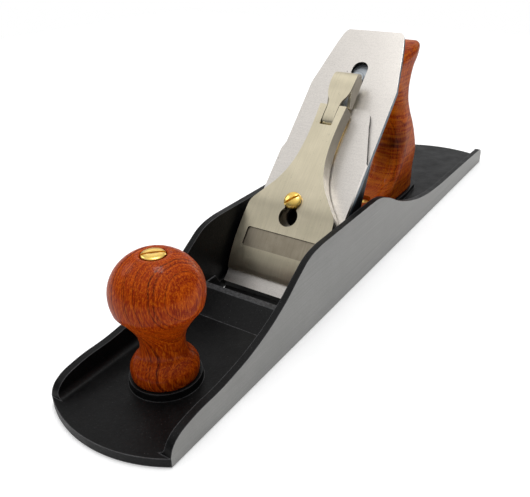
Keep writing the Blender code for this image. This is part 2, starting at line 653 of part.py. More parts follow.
def lever_cap():
    flange = 4.4 * MM
    side = lever_cap_top(0) + [(130 * MM, flange), (12.9 * MM, 4.5 * MM)]
    body = prism("lever_cap", side, -BLADE_HALF, BLADE_HALF, BED_SIDE, 3)
    keep(body, prism("lever_cap_plan", lever_cap_plan(0), 0, 20 * MM, BED, 3))
    hollow_side = lever_cap_top(3.2 * MM)[2:] + [(130 * MM, 2 * MM), (22 * MM, 2 * MM)]
    hollow = prism("hollow", hollow_side, -BLADE_HALF, BLADE_HALF, BED_SIDE, 2)
    hollow_plan = prism("hollow_plan", lever_cap_plan(2.1 * MM), 0, 20 * MM, BED, 2)
    keep(hollow, hollow_plan)
    cut(body, hollow)
    join(body, box("spring_seat", (-8 * MM, 92 * MM, flange), (8 * MM, 101 * MM, 13 * MM), BED))
    cut(body, prism("keyhole_big", arc((0, KEYHOLE_T), 6.1 * MM, 0, 345, 23), 0, 20 * MM, BED))
    cut(body, prism("keyhole_small", slot_outline(4 * MM, KEYHOLE_T, SCREW_T), 0, 20 * MM, BED))
    tongue = mm(arc((-3.5, 113.9), 0.6, 180, 270, 3) + arc((3.5, 113.9), 0.6, 270, 360, 3)
                + [(4.1, 132), (-4.1, 132)])
    cut(body, prism("tongue_slot", tongue, 0, 20 * MM, BED))
    pivot, across = bed_point(CAM_T, CAM_H), Vector((1, 0, 0))
    reach, pin_reach = across * 15 * MM, across * 8.2 * MM
    cut(body, rod("cam_pin_hole", 1.8 * MM, pivot - reach, pivot + reach))
    cut(body, rod("rivet_hole", 1.8 * MM, bed_point(RIVET_T, 0), bed_point(RIVET_T, 8 * MM)))
    finish(body, cap_metal)
    finish(rod("cam_pin", 1.5 * MM, pivot - pin_reach, pivot + pin_reach), steel)
    low, high = bed_point(RIVET_T, 3.3 * MM), bed_point(RIVET_T, 7.6 * MM)
    finish(rod("spring_rivet", 1.5 * MM, low, high), steel)


def lever_cap_spring():
    outline = mirrored([(7.4, 92.5), (8.2, 94), (8.2, 124.6), (7.2, 125.8)])
    body = prism("lever_cap_spring", mm(outline), 3.25 * MM, 4.05 * MM, BED)
    cut(body, rod("spring_hole", 1.8 * MM, bed_point(RIVET_T, 0), bed_point(RIVET_T, 8 * MM)))
    finish(body, brass)


def lever_cap_screw():
    frame = BED @ Matrix.Translation((0, SCREW_T, 0))
    turns = [math.radians(d) for d in range(0, 91, 15)]
    dome = [(5.4 * math.sin(a), 16.1 + 2.2 * math.cos(a)) for a in turns]
    profile = dome + [(5.4, 15.5), (3, 15.5), (3, -12.8), (0, -12.8)]
    slotted_screw("lever_cap_screw", frame, profile, 1.5 * MM, brass, ROUND)


def cam_lever():
    """A narrow tongue and cam in the lever cap's slot, and a curled channel above it."""
    pivot = bed_point(CAM_T, CAM_H)
    tongue_half = 3.75 * MM
    centre = (CAM_T / MM, CAM_H / MM)
    cam = arc(centre, 4.6, 165, 330, 10) + [(124, 11), (131, 12), (137, 12.6), (137, 14.5), (128, 14.2),
                                            (120, 14.2), (116.8, 13.9), (115.4, 13), (114.6, 11.8)]
    body = prism("cam_lever", mm(cam), -tongue_half, tongue_half, BED_SIDE)
    plate_side = [(128, 12.7), (140, 12.9), (148.3, 12.6, 1), (150.7, 11, 1), (151.5, 8), (153, 8),
                  (152.6, 11, 1), (150.6, 13.5, 1), (147, 14.6, 1), (137, 14.5), (128, 14.2)]
    plate = prism("plate", mm(plate_side), -9 * MM, 9 * MM, BED_SIDE, 3)
    front = [(3.75, 127), (4.4, 130.4, 1), (6.6, 134.6, 1), (7.7, 139, 1), (7.8, 156)]
    outline = mirrored(front)
    keep(plate, prism("plate_plan", mm(outline), 0, 20 * MM, BED, 3))
    join(body, plate)
    flange = [(130, 8), (134, 10.2, 1), (137.5, 13.2), (147.5, 13, 1), (151, 11, 1), (152.3, 8.2),
              (151.2, 6, 1), (147, 4.4), (132, 4), (130, 6)]
    for side in (-1, 1):
        inner, outer = sorted((side * 6 * MM, side * 7.8 * MM))
        join(body, prism("flange", mm(flange), inner, outer, BED_SIDE, 3))
    reach = Vector((9 * MM, 0, 0))
    cut(body, rod("cam_bore", 1.8 * MM, pivot - reach, pivot + reach))
    return hinge_at(finish(body, cap_metal), pivot)


# ---- knob --------------------------------------------------------------------------------
def knob_profile():
    """Ball, neck and flared foot of the front knob, top to bottom."""
    centre, radius, rise = 53.2, 22.1, 20.3
    ball = [(radius * math.cos(a), centre + (rise if a > 0 else radius) * math.sin(a))
            for a in [math.radians(d) for d in range(56, -21, -11)]]
    neck = [(17.6, 42), (14.2, 37), (11.9, 32.6), (10.9, 28.4), (10.9, 24), (12, 20.4), (14.6, 17.4),
            (16.4, 14.4), (16.5, 11), (16, BOSS_TOP / MM + 0.3)]
    return ball + neck


def front_knob():
    axis = Matrix.Translation((0, KNOB_Y, 0))
    bore = [(3.3, BOSS_TOP / MM + 0.3), (3.3, 46), (4.6, 46), (4.6, 68.6), (6, 68.6), (6, 71.6), (9, 71.5)]
    profile = knob_profile() + bore
    item = ring("front_knob", mm(profile), axis)
    finish(item, wood)
    stud = [(0, 60), (2.4, 60), (2.9, 59.4), (2.9, 3), (2.4, 2.4), (0, 2.4)]
    finish(turned("knob_stud", mm(stud), axis, SMALL), steel)
    nut = [(0, 72.9), (4.6, 72.7), (5.6, 72.1), (5.6, 69), (4.2, 68.9), (4.2, 48), (3.2, 48), (3.2, 62),
           (0, 62)]
    slotted_screw("knob_nut", axis, nut, 1.2 * MM, brass, ROUND)


# ---- tote --------------------------------------------------------------------------------
def tote_line():
    """Foot and direction of the stud through the tote."""
    foot = Vector((0, *TOTE_FOOT))
    return foot, (Vector((0, *TOTE_HEAD)) - foot).normalized()


def tote_outline():
    """The tote from the side: toe, grip leaning forward, and a horn at the back."""
    base = BOSS_TOP / MM + 0.3
    front = [(28, base), (27.4, 12, 1), (29.5, 15.6, 1), (36, 17.6, 1), (47, 19.2, 1), (58, 22.2, 1),
             (66.5, 28, 1), (72.5, 36, 1), (76.6, 46, 1), (77.4, 56, 1), (74.6, 69, 1), (68, 82, 1),
             (60, 93, 1), (52.5, 101, 1), (49.2, 107.5, 1), (50.4, 113, 1), (56.5, 117.6, 1)]
    back = [(68, 120.6, 1), (84, 122.8, 1), (100, 122.8, 1), (110, 121, 1), (114.4, 117.6, 1),
            (112.6, 113.6, 1), (105, 109.2, 1), (96.5, 104, 1), (91.6, 97, 1), (90.8, 88, 1),
            (95.4, 78, 1), (103.4, 67, 1), (110.6, 55, 1), (116, 41, 1), (119, 26, 1), (119.6, base)]
    return mm(front + back)


def tote():
    body = prism("tote", tote_outline(), -TOTE_HALF, TOTE_HALF, SIDE, 2)
    plan = [(26, 0, 1), (28.4, 6, 1), (36, 9.6, 1), (48, 11.4, 1), (62, 12.2), (124, 12.2)]
    outline = [(-x * MM, y * MM, *rest) for y, x, *rest in plan]
    outline += [(x * MM, y * MM, *rest) for y, x, *rest in reversed(plan[1:])]
    keep(body, prism("tote_plan", outline, 0, 130 * MM, None, 2))
    soften(body, 4 * MM, 2, 40)
    foot, along = tote_line()
    head = Vector((0, *TOTE_HEAD))
    cut(body, rod("tote_bore", 3.3 * MM, foot - along * 8 * MM, foot + along * 100 * MM))
    cut(body, rod("tote_counterbore", 4.6 * MM, head - along * 25 * MM, head + along * 9 * MM))
    cut(body, rod("tote_nut_seat", 6 * MM, head - along * 3.4 * MM, head + along * 9 * MM))
    top = (0, TOE_SCREW_Y, 30 * MM)
    cut(body, rod("toe_screw_bore", 2.3 * MM, (0, TOE_SCREW_Y, 0), top))
    cut(body, rod("toe_screw_seat", 5.3 * MM, (0, TOE_SCREW_Y, 14 * MM), top, 24))
    finish(body, wood)
    turn = turn_to(along)
    reach = (head - foot).length / MM
    stud = [(0, reach - 12), (2.4, reach - 12), (2.9, reach - 12.6), (2.9, -4.4), (2.4, -5), (0, -5)]
    finish(turned("tote_stud", mm(stud), Matrix.Translation(foot) @ turn, SMALL), steel)
    nut = [(0, 0.6), (4.6, 0.4), (5.6, -0.2), (5.6, -3), (4.2, -3.1), (4.2, -24), (3.2, -24), (3.2, -10),
           (0, -10)]
    slotted_screw("tote_nut", Matrix.Translation(head) @ turn, nut, 1.2 * MM, brass, 24)
    screw = [(0, 17.6), (2, 17.4), (3.8, 16.4), (4.6, 14.9), (4.6, 14.3), (1.9, 14.3), (1.9, 2.4), (0, 2.4)]
    place = Matrix.Translation((0, TOE_SCREW_Y, 0))
    slotted_screw("tote_toe_screw", place, screw, 1 * MM, brass, 24)


sole_body()
frog()
frog_pins()
rear_screws()
adjust_plate()
plate_screw()
depth_adjuster()
yoke()
lateral_lever()
blade()
cap_iron()
lever_cap()
lever_cap_spring()
lever_cap_screw()
cam_lever()
front_knob()
tote()
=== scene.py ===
"""The looks of a metal bench hand plane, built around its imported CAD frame.

World frame: origin at the middle of the sole's underside, toe towards -Y, heel towards +Y.
The blade's bed has a frame of its own: x across, t up the bed, h out of the blade's face.
Outlines are written in millimetres and scaled by mm().
"""
import math
import bmesh
import bpy
import numpy as np
from mathutils import Matrix, Vector
from mathutils.geometry import delaunay_2d_cdt


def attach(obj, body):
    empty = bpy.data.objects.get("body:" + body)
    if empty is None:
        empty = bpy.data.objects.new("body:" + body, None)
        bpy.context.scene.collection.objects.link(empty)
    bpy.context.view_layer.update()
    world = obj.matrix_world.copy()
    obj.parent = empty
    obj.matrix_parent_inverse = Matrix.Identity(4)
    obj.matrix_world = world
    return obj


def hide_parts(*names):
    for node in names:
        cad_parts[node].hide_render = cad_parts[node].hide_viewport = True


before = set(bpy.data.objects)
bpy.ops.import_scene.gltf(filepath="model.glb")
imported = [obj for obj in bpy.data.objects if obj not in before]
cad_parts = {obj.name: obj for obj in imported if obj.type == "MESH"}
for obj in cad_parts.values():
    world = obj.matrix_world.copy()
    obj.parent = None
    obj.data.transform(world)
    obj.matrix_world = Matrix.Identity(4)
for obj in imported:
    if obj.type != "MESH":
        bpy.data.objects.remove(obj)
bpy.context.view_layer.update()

MM = 0.001
WELD = 2e-6                         # m, an outline's points nearer than this are one
BED_ANGLE = math.radians(45)
BED_FOOT_Y = -92.06                 # mm, where the blade's face plane meets the sole
C, S = math.cos(BED_ANGLE), math.sin(BED_ANGLE)
SWAP = Matrix(((0, 0, 1, 0), (1, 0, 0, 0), (0, 1, 0, 0), (0, 0, 0, 1)))
SIDE = SWAP                         # local x, y, z are world y, z, x
BED = Matrix(((1, 0, 0, 0), (0, C, -S, BED_FOOT_Y * MM), (0, S, C, 0), (0, 0, 0, 1)))
BED_SIDE = BED @ SWAP
LEVEL = Matrix()

HALF_LENGTH, HALF_WIDTH = 227.5, 36.5
TOE_RADIUS, HEEL_RADIUS = 68, 75
FLOOR, CHANNEL_HALF, CHEEK = 4.6, 32.4, 47.9
BOSS_TOP = 8.4
GAP = 0.3                           # between the wood and its boss
RAMP_ANGLE = math.radians(10)
RAMP_START = (-78.4, 8.4)
RAMP_END_Y = -14
REAR_SCREW_DEPTH = 7.6
PIN_X = 18
SCREW_T, KEYHOLE_T = 60.7, 51
CAM = (118.5, 9)
KNOB_Y = -178.1
TOTE_FOOT, TOTE_HEAD = Vector((0, 97, BOSS_TOP)), Vector((0, 68, 119.5))
TOE_SCREW_Y = 41
STUD_Z = 38


# ---- shapes ------------------------------------------------------------------------------
def mm(points):
    """Points in millimetres, in metres; a third value, the smooth mark, stays."""
    return [(u * MM, v * MM, *mark) for u, v, *mark in points]


def mirrored(half):
    """A closed outline from its right half."""
    return half + [(-u, v, *mark) for u, v, *mark in reversed(half)]


def arc(centre, radius, start, end, count):
    """Points on a round stretch, angles in degrees."""
    turns = [math.radians(start + (end - start) * i / count) for i in range(count + 1)]
    return [(centre[0] + radius * math.cos(a), centre[1] + radius * math.sin(a)) for a in turns]


def bed_point(t, h):
    return BED @ Vector((0, t * MM, h * MM))


def new_object(name, mesh, place=None):
    item = bpy.data.objects.new(name, mesh)
    bpy.context.scene.collection.objects.link(item)
    if place is not None:
        mesh.transform(place)
    return item


def from_bmesh(name, bm, place=None):
    mesh = bpy.data.meshes.new(name)
    bm.to_mesh(mesh)
    bm.free()
    return new_object(name, mesh, place)


def box(name, low, high, place=LEVEL):
    """A box between two corners, in millimetres of a frame."""
    low, high = Vector(low) * MM, Vector(high) * MM
    bm = bmesh.new()
    bmesh.ops.create_cube(bm, size=1, matrix=Matrix.Translation((low + high) / 2)
                          @ Matrix.Diagonal((*(high - low), 1)))
    return from_bmesh(name, bm, place)


def rod(name, radius, start, end, segments=48, end_radius=None):
    """A cylinder or cone, radii in millimetres, between two points in metres."""
    start, end = Vector(start), Vector(end)
    run = end - start
    bm = bmesh.new()
    bmesh.ops.create_cone(bm, cap_ends=True, segments=segments, radius1=radius * MM,
                          radius2=(radius if end_radius is None else end_radius) * MM,
                          depth=run.length)
    place = Matrix.Translation((start + end) / 2) @ run.to_track_quat("Z", "Y").to_matrix().to_4x4()
    return from_bmesh(name, bm, place)


def evaluated(item):
    """The item's mesh with its modifiers applied."""
    bpy.context.view_layer.update()
    drawn = item.evaluated_get(bpy.context.evaluated_depsgraph_get())
    mesh = bpy.data.meshes.new_from_object(drawn)
    item.modifiers.clear()
    item.data = mesh
    return item


def prism(name, points, low, high, place=LEVEL, steps=10):
    """A flat outline between two depths of a frame, all in millimetres."""
    curve = bpy.data.curves.new(name, "CURVE")
    curve.dimensions = "2D"
    curve.fill_mode = "BOTH"
    curve.extrude = (high - low) / 2 * MM
    curve.resolution_u = steps
    spline = curve.splines.new("BEZIER")
    spline.bezier_points.add(len(points) - 1)
    for knot, point in zip(spline.bezier_points, mm(points)):
        knot.co = (point[0], point[1], 0)
        knot.handle_left_type = knot.handle_right_type = "AUTO" if len(point) > 2 else "VECTOR"
    spline.use_cyclic_u = True
    guide = new_object(name + "_outline", curve)
    bpy.context.view_layer.update()
    drawn = guide.evaluated_get(bpy.context.evaluated_depsgraph_get())
    mesh = bpy.data.meshes.new_from_object(drawn)
    bpy.data.objects.remove(guide, do_unlink=True)
    bm = bmesh.new()
    bm.from_mesh(mesh)
    bmesh.ops.remove_doubles(bm, verts=bm.verts, dist=WELD)
    bmesh.ops.dissolve_degenerate(bm, edges=bm.edges, dist=WELD)
    bmesh.ops.recalc_face_normals(bm, faces=bm.faces)
    bmesh.ops.translate(bm, verts=bm.verts, vec=(0, 0, (low + high) / 2 * MM))
    return from_bmesh(name, bm, place)


def turned(name, profile, place, steps=72, closed=False):
    """A turned solid from (radius, height) points, top to bottom, in millimetres."""
    points = [(r * MM, 0, z * MM) for r, z in (profile + profile[:1] if closed else profile)]
    bm = bmesh.new()
    verts = [bm.verts.new(p) for p in points]
    edges = [bm.edges.new(pair) for pair in zip(verts, verts[1:])]
    bmesh.ops.spin(bm, geom=verts + edges, cent=(0, 0, 0), axis=(0, 0, 1), dvec=(0, 0, 0),
                   angle=2 * math.pi, steps=steps)
    bmesh.ops.remove_doubles(bm, verts=bm.verts, dist=1e-6)
    bmesh.ops.dissolve_degenerate(bm, edges=bm.edges, dist=1e-7)
    bmesh.ops.recalc_face_normals(bm, faces=bm.faces)
    return from_bmesh(name, bm, place)


def combine(target, operation, tools):
    """Boolean with each tool, applied at once; the tools are used up."""
    for tool in tools:
        step = target.modifiers.new("step", "BOOLEAN")
        step.operation = operation
        step.object = tool
    evaluated(target)
    for tool in tools:
        bpy.data.objects.remove(tool, do_unlink=True)
    return target


def cut(target, *tools):
    return combine(target, "DIFFERENCE", tools)


def join(target, *tools):
    return combine(target, "UNION", tools)


def keep(target, *tools):
    return combine(target, "INTERSECT", tools)


def soften(item, width, segments, angle):
    """Small rounded edges, applied."""
    bevel = item.modifiers.new("edges", "BEVEL")
    bevel.width = width * MM
    bevel.segments = segments
    bevel.limit_method = "ANGLE"
    bevel.angle_limit = math.radians(angle)
    return evaluated(item)


def smooth_curve(points, per_span):
    """A smooth open curve (Catmull-Rom) through given points."""
    padded = [points[0], *points, points[-1]]
    out = []
    for a, b, c, d in zip(padded, padded[1:], padded[2:], padded[3:]):
        for i in range(per_span):
            s = i / per_span
            out.append(tuple(0.5 * ((2 * q) + (r - p) * s + (2 * p - 5 * q + 4 * r - w) * s * s
                                    + (3 * q - p - 3 * r + w) * s ** 3)
                             for p, q, r, w in zip(a, b, c, d)))
    return out + [points[-1]]


def split_at(item, point, way):
    """New edges where a plane crosses the item."""
    bm = bmesh.new()
    bm.from_mesh(item.data)
    bmesh.ops.bisect_plane(bm, geom=bm.verts[:] + bm.edges[:] + bm.faces[:],
                           plane_co=point, plane_no=way)
    bm.to_mesh(item.data)
    bm.free()


def paint_faces(item, looks, choose):
    """Gives each face one of the looks, chosen by its place (mm) and direction on the bed."""
    item.data.materials.clear()
    for look in looks:
        item.data.materials.append(look)
    into_bed = BED.inverted()
    for face in item.data.polygons:
        way = into_bed.to_3x3() @ face.normal
        face.material_index = choose((into_bed @ face.center) / MM, way)


def dress(item, body, nodes, look, angle=34):
    """Shading, material, the body that it moves with and the CAD nodes that it stands for."""
    for face in item.data.polygons:
        face.use_smooth = True
    item.data.set_sharp_from_angle(angle=math.radians(angle))
    if look is not None:
        item.data.materials.clear()
        item.data.materials.append(look)
    weigh = item.modifiers.new("weigh", "WEIGHTED_NORMAL")
    weigh.keep_sharp = True
    evaluated(item)
    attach(item, body)
    for node in nodes:
        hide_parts(node)
    return item


# ---- materials ---------------------------------------------------------------------------
class Look:
    """Builds one Principled material step by step."""

    def __init__(self, name, colour, roughness, metallic=0.0, **sockets):
        self.mat = bpy.data.materials.new(name)
        self.mat.use_nodes = True
        self.nodes = self.mat.node_tree.nodes
        self.links = self.mat.node_tree.links
        self.shader = self.nodes["Principled BSDF"]
        self.set("Base Color", (*colour, 1))
        self.set("Roughness", roughness)
        self.set("Metallic", metallic)
        for socket, value in sockets.items():
            self.set(socket.replace("_", " "), value)
        self.coordinates = self.nodes.new("ShaderNodeTexCoord").outputs["Object"]
        self.normal = None

    def set(self, socket, value):
        self.shader.inputs[socket].default_value = value

    def place(self, scale, turn=(0, 0, 0), shift=(0, 0, 0)):
        node = self.nodes.new("ShaderNodeMapping")
        node.inputs["Scale"].default_value = scale
        node.inputs["Rotation"].default_value = turn
        node.inputs["Location"].default_value = shift
        self.links.new(self.coordinates, node.inputs["Vector"])
        return node.outputs["Vector"]

    def noise(self, vector, scale, detail, rough):
        node = self.nodes.new("ShaderNodeTexNoise")
        node.inputs["Scale"].default_value = scale
        node.inputs["Detail"].default_value = detail
        node.inputs["Roughness"].default_value = rough
        self.links.new(vector, node.inputs["Vector"])
        return node.outputs["Fac"]

    def ramp(self, value, stops):
        """Colour ramp; a stop is (position, colour or grey)."""
        node = self.nodes.new("ShaderNodeValToRGB")
        while len(node.color_ramp.elements) < len(stops):
            node.color_ramp.elements.new(0.5)
        for element, (position, colour) in zip(node.color_ramp.elements, stops):
            element.position = position
            element.color = (*colour, 1) if isinstance(colour, tuple) else (colour, colour, colour, 1)
        self.links.new(value, node.inputs["Fac"])
        return node.outputs["Color"]

    def line_noise(self, value, detail, rough):
        """Noise along one number: lines of uneven width and spacing."""
        node = self.nodes.new("ShaderNodeTexNoise")
        node.noise_dimensions = "1D"
        node.inputs["Scale"].default_value = 1
        node.inputs["Detail"].default_value = detail
        node.inputs["Roughness"].default_value = rough
        self.links.new(value, node.inputs["W"])
        return node.outputs["Fac"]

    def spread(self, value, low, high, into_low, into_high):
        node = self.nodes.new("ShaderNodeMapRange")
        limits = {"From Min": low, "From Max": high, "To Min": into_low, "To Max": into_high}
        for socket, number in limits.items():
            node.inputs[socket].default_value = number
        self.links.new(value, node.inputs["Value"])
        return node.outputs["Result"]

    def maths(self, operation, first, second):
        node = self.nodes.new("ShaderNodeMath")
        node.operation = operation
        for socket, value in zip(node.inputs, (first, second)):
            if isinstance(value, (int, float)):
                socket.default_value = value
            else:
                self.links.new(value, socket)
        return node.outputs["Value"]

    def mix(self, factor, first, second):
        node = self.nodes.new("ShaderNodeMix")
        node.data_type = "RGBA"
        self.links.new(factor, node.inputs["Factor"])
        for socket, value in ((node.inputs[6], first), (node.inputs[7], second)):
            if isinstance(value, tuple):
                socket.default_value = (*value, 1)
            else:
                self.links.new(value, socket)
        return node.outputs[2]

    def colour(self, value):
        self.links.new(value, self.shader.inputs["Base Color"])

    def roughness(self, value):
        self.links.new(value, self.shader.inputs["Roughness"])

    def bump(self, height, strength, distance):
        """Adds a layer of bump, distance in millimetres."""
        node = self.nodes.new("ShaderNodeBump")
        node.inputs["Strength"].default_value = strength
        node.inputs["Distance"].default_value = distance * MM
        self.links.new(height, node.inputs["Height"])
        if self.normal is not None:
            self.links.new(self.normal, node.inputs["Normal"])
        self.normal = node.outputs["Normal"]
        self.links.new(self.normal, self.shader.inputs["Normal"])

    def edges(self, radius):
        """1 away from an edge and less near it, from a normal bevelled over radius millimetres."""
        bevel = self.nodes.new("ShaderNodeBevel")
        bevel.samples = 4
        bevel.inputs["Radius"].default_value = radius * MM
        geometry = self.nodes.new("ShaderNodeNewGeometry")
        dot = self.nodes.new("ShaderNodeVectorMath")
        dot.operation = "DOT_PRODUCT"
        self.links.new(bevel.outputs["Normal"], dot.inputs[0])
        self.links.new(geometry.outputs["Normal"], dot.inputs[1])
        return dot.outputs["Value"]


def ground_iron():
    """Surface-ground cast iron: fine lines along the length, clouding, specks and scratches."""
    look = Look("ground_iron", (0.24, 0.238, 0.23), 0.4, 0.9)
    lines = look.noise(look.place((60, 14, 2400)), 1, 4, 0.6)
    clouds = look.noise(look.place((1, 1, 1)), 26, 4, 0.6)
    grain = look.noise(look.place((1, 1, 1)), 1500, 3, 0.6)
    scratch = look.noise(look.place((900, 16, 900), (0.35, 0, 0)), 1, 2, 0.5)
    tone = look.mix(look.spread(clouds, 0.3, 0.7, 0, 1), (0.21, 0.209, 0.201), (0.29, 0.288, 0.278))
    tone = look.mix(look.spread(lines, 0.3, 0.7, 0, 0.3), tone, (0.19, 0.19, 0.185))
    tone = look.mix(look.spread(grain, 0.35, 0.65, 0, 0.25), tone, (0.16, 0.16, 0.155))
    tone = look.mix(look.spread(scratch, 0.7, 0.76, 0, 0.3), tone, (0.42, 0.42, 0.41))
    look.colour(tone)
    look.roughness(look.spread(look.maths("ADD", lines, clouds), 0.7, 1.3, 0.36, 0.5))
    look.bump(lines, 0.2, 0.03)
    look.bump(grain, 0.12, 0.03)
    return look.mat


def black_paint(name="black_paint", tone_low=0.002, tone_high=0.006):
    """Satin black paint over a sand-cast surface, with a painted highlight along its edges."""
    look = Look(name, (tone_low, tone_low, tone_low), 0.4, 0.0, Specular_IOR_Level=0.13)
    grain = look.noise(look.place((1, 1, 1)), 760, 4, 0.62)
    swell = look.noise(look.place((1, 1, 1)), 95, 3, 0.5)
    tone = look.ramp(grain, [(0.3, (tone_low, tone_low, tone_low * 1.05)),
                             (0.75, (tone_high, tone_high, tone_high * 1.05))])
    # painted highlight: the edges are patchily lightened to grey where they would catch the light
    painted_edge_highlight = look.maths("MULTIPLY", look.spread(look.edges(0.7), 0.998, 0.93, 0, 1), swell)
    # painted glints: a scatter of tiny light specks over the black
    specks = look.noise(look.place((1, 1, 1), shift=(2, 1, 3)), 1500, 2, 0.5)
    tone = look.mix(look.spread(specks, 0.68, 0.74, 0, 0.6), tone, (0.07, 0.07, 0.072))
    look.colour(look.mix(painted_edge_highlight, tone, (0.16, 0.16, 0.165)))
    look.roughness(look.spread(swell, 0.3, 0.7, 0.34, 0.48))
    look.bump(grain, 0.6, 0.2)
    look.bump(swell, 0.15, 0.3)
    return look.mat


def satin_steel(name, light, dark, along, rough=(0.3, 0.42)):
    """Finely blasted steel with faint grinding lines, clouding and a few dark specks."""
    look = Look(name, light, 0.3, 1.0)
    lines = look.noise(look.place(along, (BED_ANGLE, 0, 0)), 1, 4, 0.62)
    clouds = look.noise(look.place((1, 1, 1)), 60, 5, 0.65)
    grain = look.noise(look.place((1, 1, 1)), 1300, 3, 0.6)
    specks = look.noise(look.place((1, 1, 1)), 330, 2, 0.5)
    tone = look.mix(look.spread(lines, 0.3, 0.7, 0, 0.7), light, dark)
    tone = look.mix(look.spread(clouds, 0.45, 0.75, 0, 0.6), tone, dark)
    tone = look.mix(look.spread(grain, 0.4, 0.7, 0, 0.38), tone, tuple(c * 0.66 for c in dark))
    tone = look.mix(look.spread(specks, 0.74, 0.78, 0, 0.8), tone, tuple(c * 0.3 for c in dark))
    look.colour(tone)
    look.roughness(look.spread(look.maths("ADD", lines, clouds), 0.7, 1.3, *rough))
    look.bump(lines, 0.08, 0.02)
    look.bump(grain, 0.14, 0.03)
    return look.mat


def nickel(name, light, dark):
    """Satin nickel over a finely finished casting, warm in tone, with lines running up the cap."""
    look = Look(name, light, 0.32, 1.0)
    cloud = look.noise(look.place((1, 1, 1)), 55, 5, 0.62)
    fine = look.noise(look.place((1100, 60, 60), (BED_ANGLE, 0, 0)), 1, 3, 0.6)
    pit = look.noise(look.place((1, 1, 1)), 620, 3, 0.55)
    tone = look.mix(look.spread(cloud, 0.3, 0.7, 0, 1), dark, light)
    tone = look.mix(look.spread(fine, 0.35, 0.7, 0, 0.35), tone, tuple(c * 0.8 for c in dark))
    tone = look.mix(look.spread(pit, 0.64, 0.8, 0, 0.5), tone, tuple(c * 0.4 for c in dark))
    look.colour(tone)
    look.roughness(look.spread(look.maths("ADD", fine, cloud), 0.7, 1.3, 0.28, 0.42))
    look.bump(pit, 0.12, 0.06)
    look.bump(fine, 0.1, 0.03)
    return look.mat


def polished_brass():
    """Turned brass, polished: faint tool marks and a little tarnish."""
    look = Look("polished_brass", (0.9, 0.62, 0.16), 0.3, 1.0)
    cloud = look.noise(look.place((1, 1, 1)), 260, 4, 0.6)
    fine = look.noise(look.place((1, 1, 1)), 1800, 3, 0.6)
    tone = look.mix(look.spread(cloud, 0.35, 0.7, 0, 1), (0.95, 0.68, 0.19), (0.82, 0.5, 0.1))
    look.colour(tone)
    look.roughness(look.spread(cloud, 0.3, 0.7, 0.24, 0.36))
    look.bump(fine, 0.05, 0.02)
    return look.mat


def lacquered_wood(name, layers, spacing, patch, pore_scale):
    """Red-brown hardwood under satin lacquer.

    layers turns the wood so that its growth layers lie across local x and its fibres run along
    local z. spacing, in metres, sets how far apart the layers' uneven lines lie. patch is the
    place and radius of a darker, figured area, in metres. pore_scale sets how short the pores
    look along x, y and z.
    """
    look = Look(name, (0.27, 0.045, 0.002), 0.42, 0.0, Specular_IOR_Level=0.05, Coat_Weight=0.1,
                Coat_Roughness=0.12)
    grain = look.place((1, 1, 1), layers)
    sway = look.noise(grain, 21, 3, 0.5)
    wobble = look.noise(grain, 130, 2, 0.5)
    split = look.nodes.new("ShaderNodeSeparateXYZ")
    look.links.new(grain, split.inputs[0])
    depth = look.maths("ADD", split.outputs["X"], look.maths("MULTIPLY", sway, 0.008))
    depth = look.maths("ADD", depth, look.maths("MULTIPLY", wobble, 0.0006))
    count = look.maths("DIVIDE", depth, spacing)
    rings = look.line_noise(look.maths("MULTIPLY", count, 2.1), 4, 0.7)
    threads = look.line_noise(look.maths("ADD", look.maths("MULTIPLY", count, 2.6), 31), 2, 0.6)
    pores = look.noise(look.place(pore_scale, layers), 1, 4, 0.65)
    flecks = look.noise(look.place(tuple(q * 0.8 for q in pore_scale), layers, (3, 1, 2)), 1, 4, 0.75)
    blotch = look.noise(look.place((1, 1, 1), layers), 70, 3, 0.6)
    tone = look.ramp(rings, [(0.36, (0.26, 0.02, 0.0003)), (0.5, (0.39, 0.042, 0.0006)),
                             (0.64, (0.53, 0.078, 0.0015))])
    tone = look.mix(look.spread(blotch, 0.4, 0.7, 0, 0.6), tone, (0.25, 0.018, 0.0003))
    tone = look.mix(look.spread(flecks, 0.5, 0.66, 0, 0.75), tone, (0.64, 0.15, 0.006))
    tone = look.mix(look.spread(flecks, 0.5, 0.36, 0, 0.7), tone, (0.13, 0.009, 0.0003))
    streak = look.maths("MULTIPLY", look.spread(threads, 0.6, 0.68, 0, 1),
                        look.spread(pores, 0.36, 0.55, 0, 1))
    tone = look.mix(look.maths("MULTIPLY", streak, 0.85), tone, (0.05, 0.005, 0.0008))
    tone = look.mix(look.spread(pores, 0.62, 0.74, 0, 0.7), tone, (0.06, 0.007, 0.001))
    if patch is not None:
        middle, radius = patch
        away = look.nodes.new("ShaderNodeVectorMath")
        away.operation = "DISTANCE"
        look.links.new(look.coordinates, away.inputs[0])
        away.inputs[1].default_value = middle
        uneven = look.maths("ADD", away.outputs["Value"], look.maths("MULTIPLY", sway, 0.02))
        shade = look.spread(uneven, radius * 1.5, radius * 0.55, 0, 0.9)
        curl = look.noise(look.place((80, 80, 260), (0.5, 0, 0)), 1, 3, 0.55)
        shade = look.maths("MULTIPLY", shade, look.spread(curl, 0.3, 0.6, 0.45, 1))
        stripes = look.noise(look.place((45, 45, 620), (0.35, 0, 0)), 1, 3, 0.6)
        tone = look.mix(look.spread(stripes, 0.42, 0.66, 0, 0.6), tone, (0.62, 0.17, 0.006))
        tone = look.mix(look.spread(stripes, 0.45, 0.3, 0, 0.4), tone, (0.16, 0.014, 0.0004))
        tone = look.mix(shade, tone, (0.022, 0.003, 0.001))
    look.colour(tone)
    look.roughness(look.spread(pores, 0.4, 0.7, 0.38, 0.55))
    look.bump(pores, 0.14, 0.06)
    return look.mat


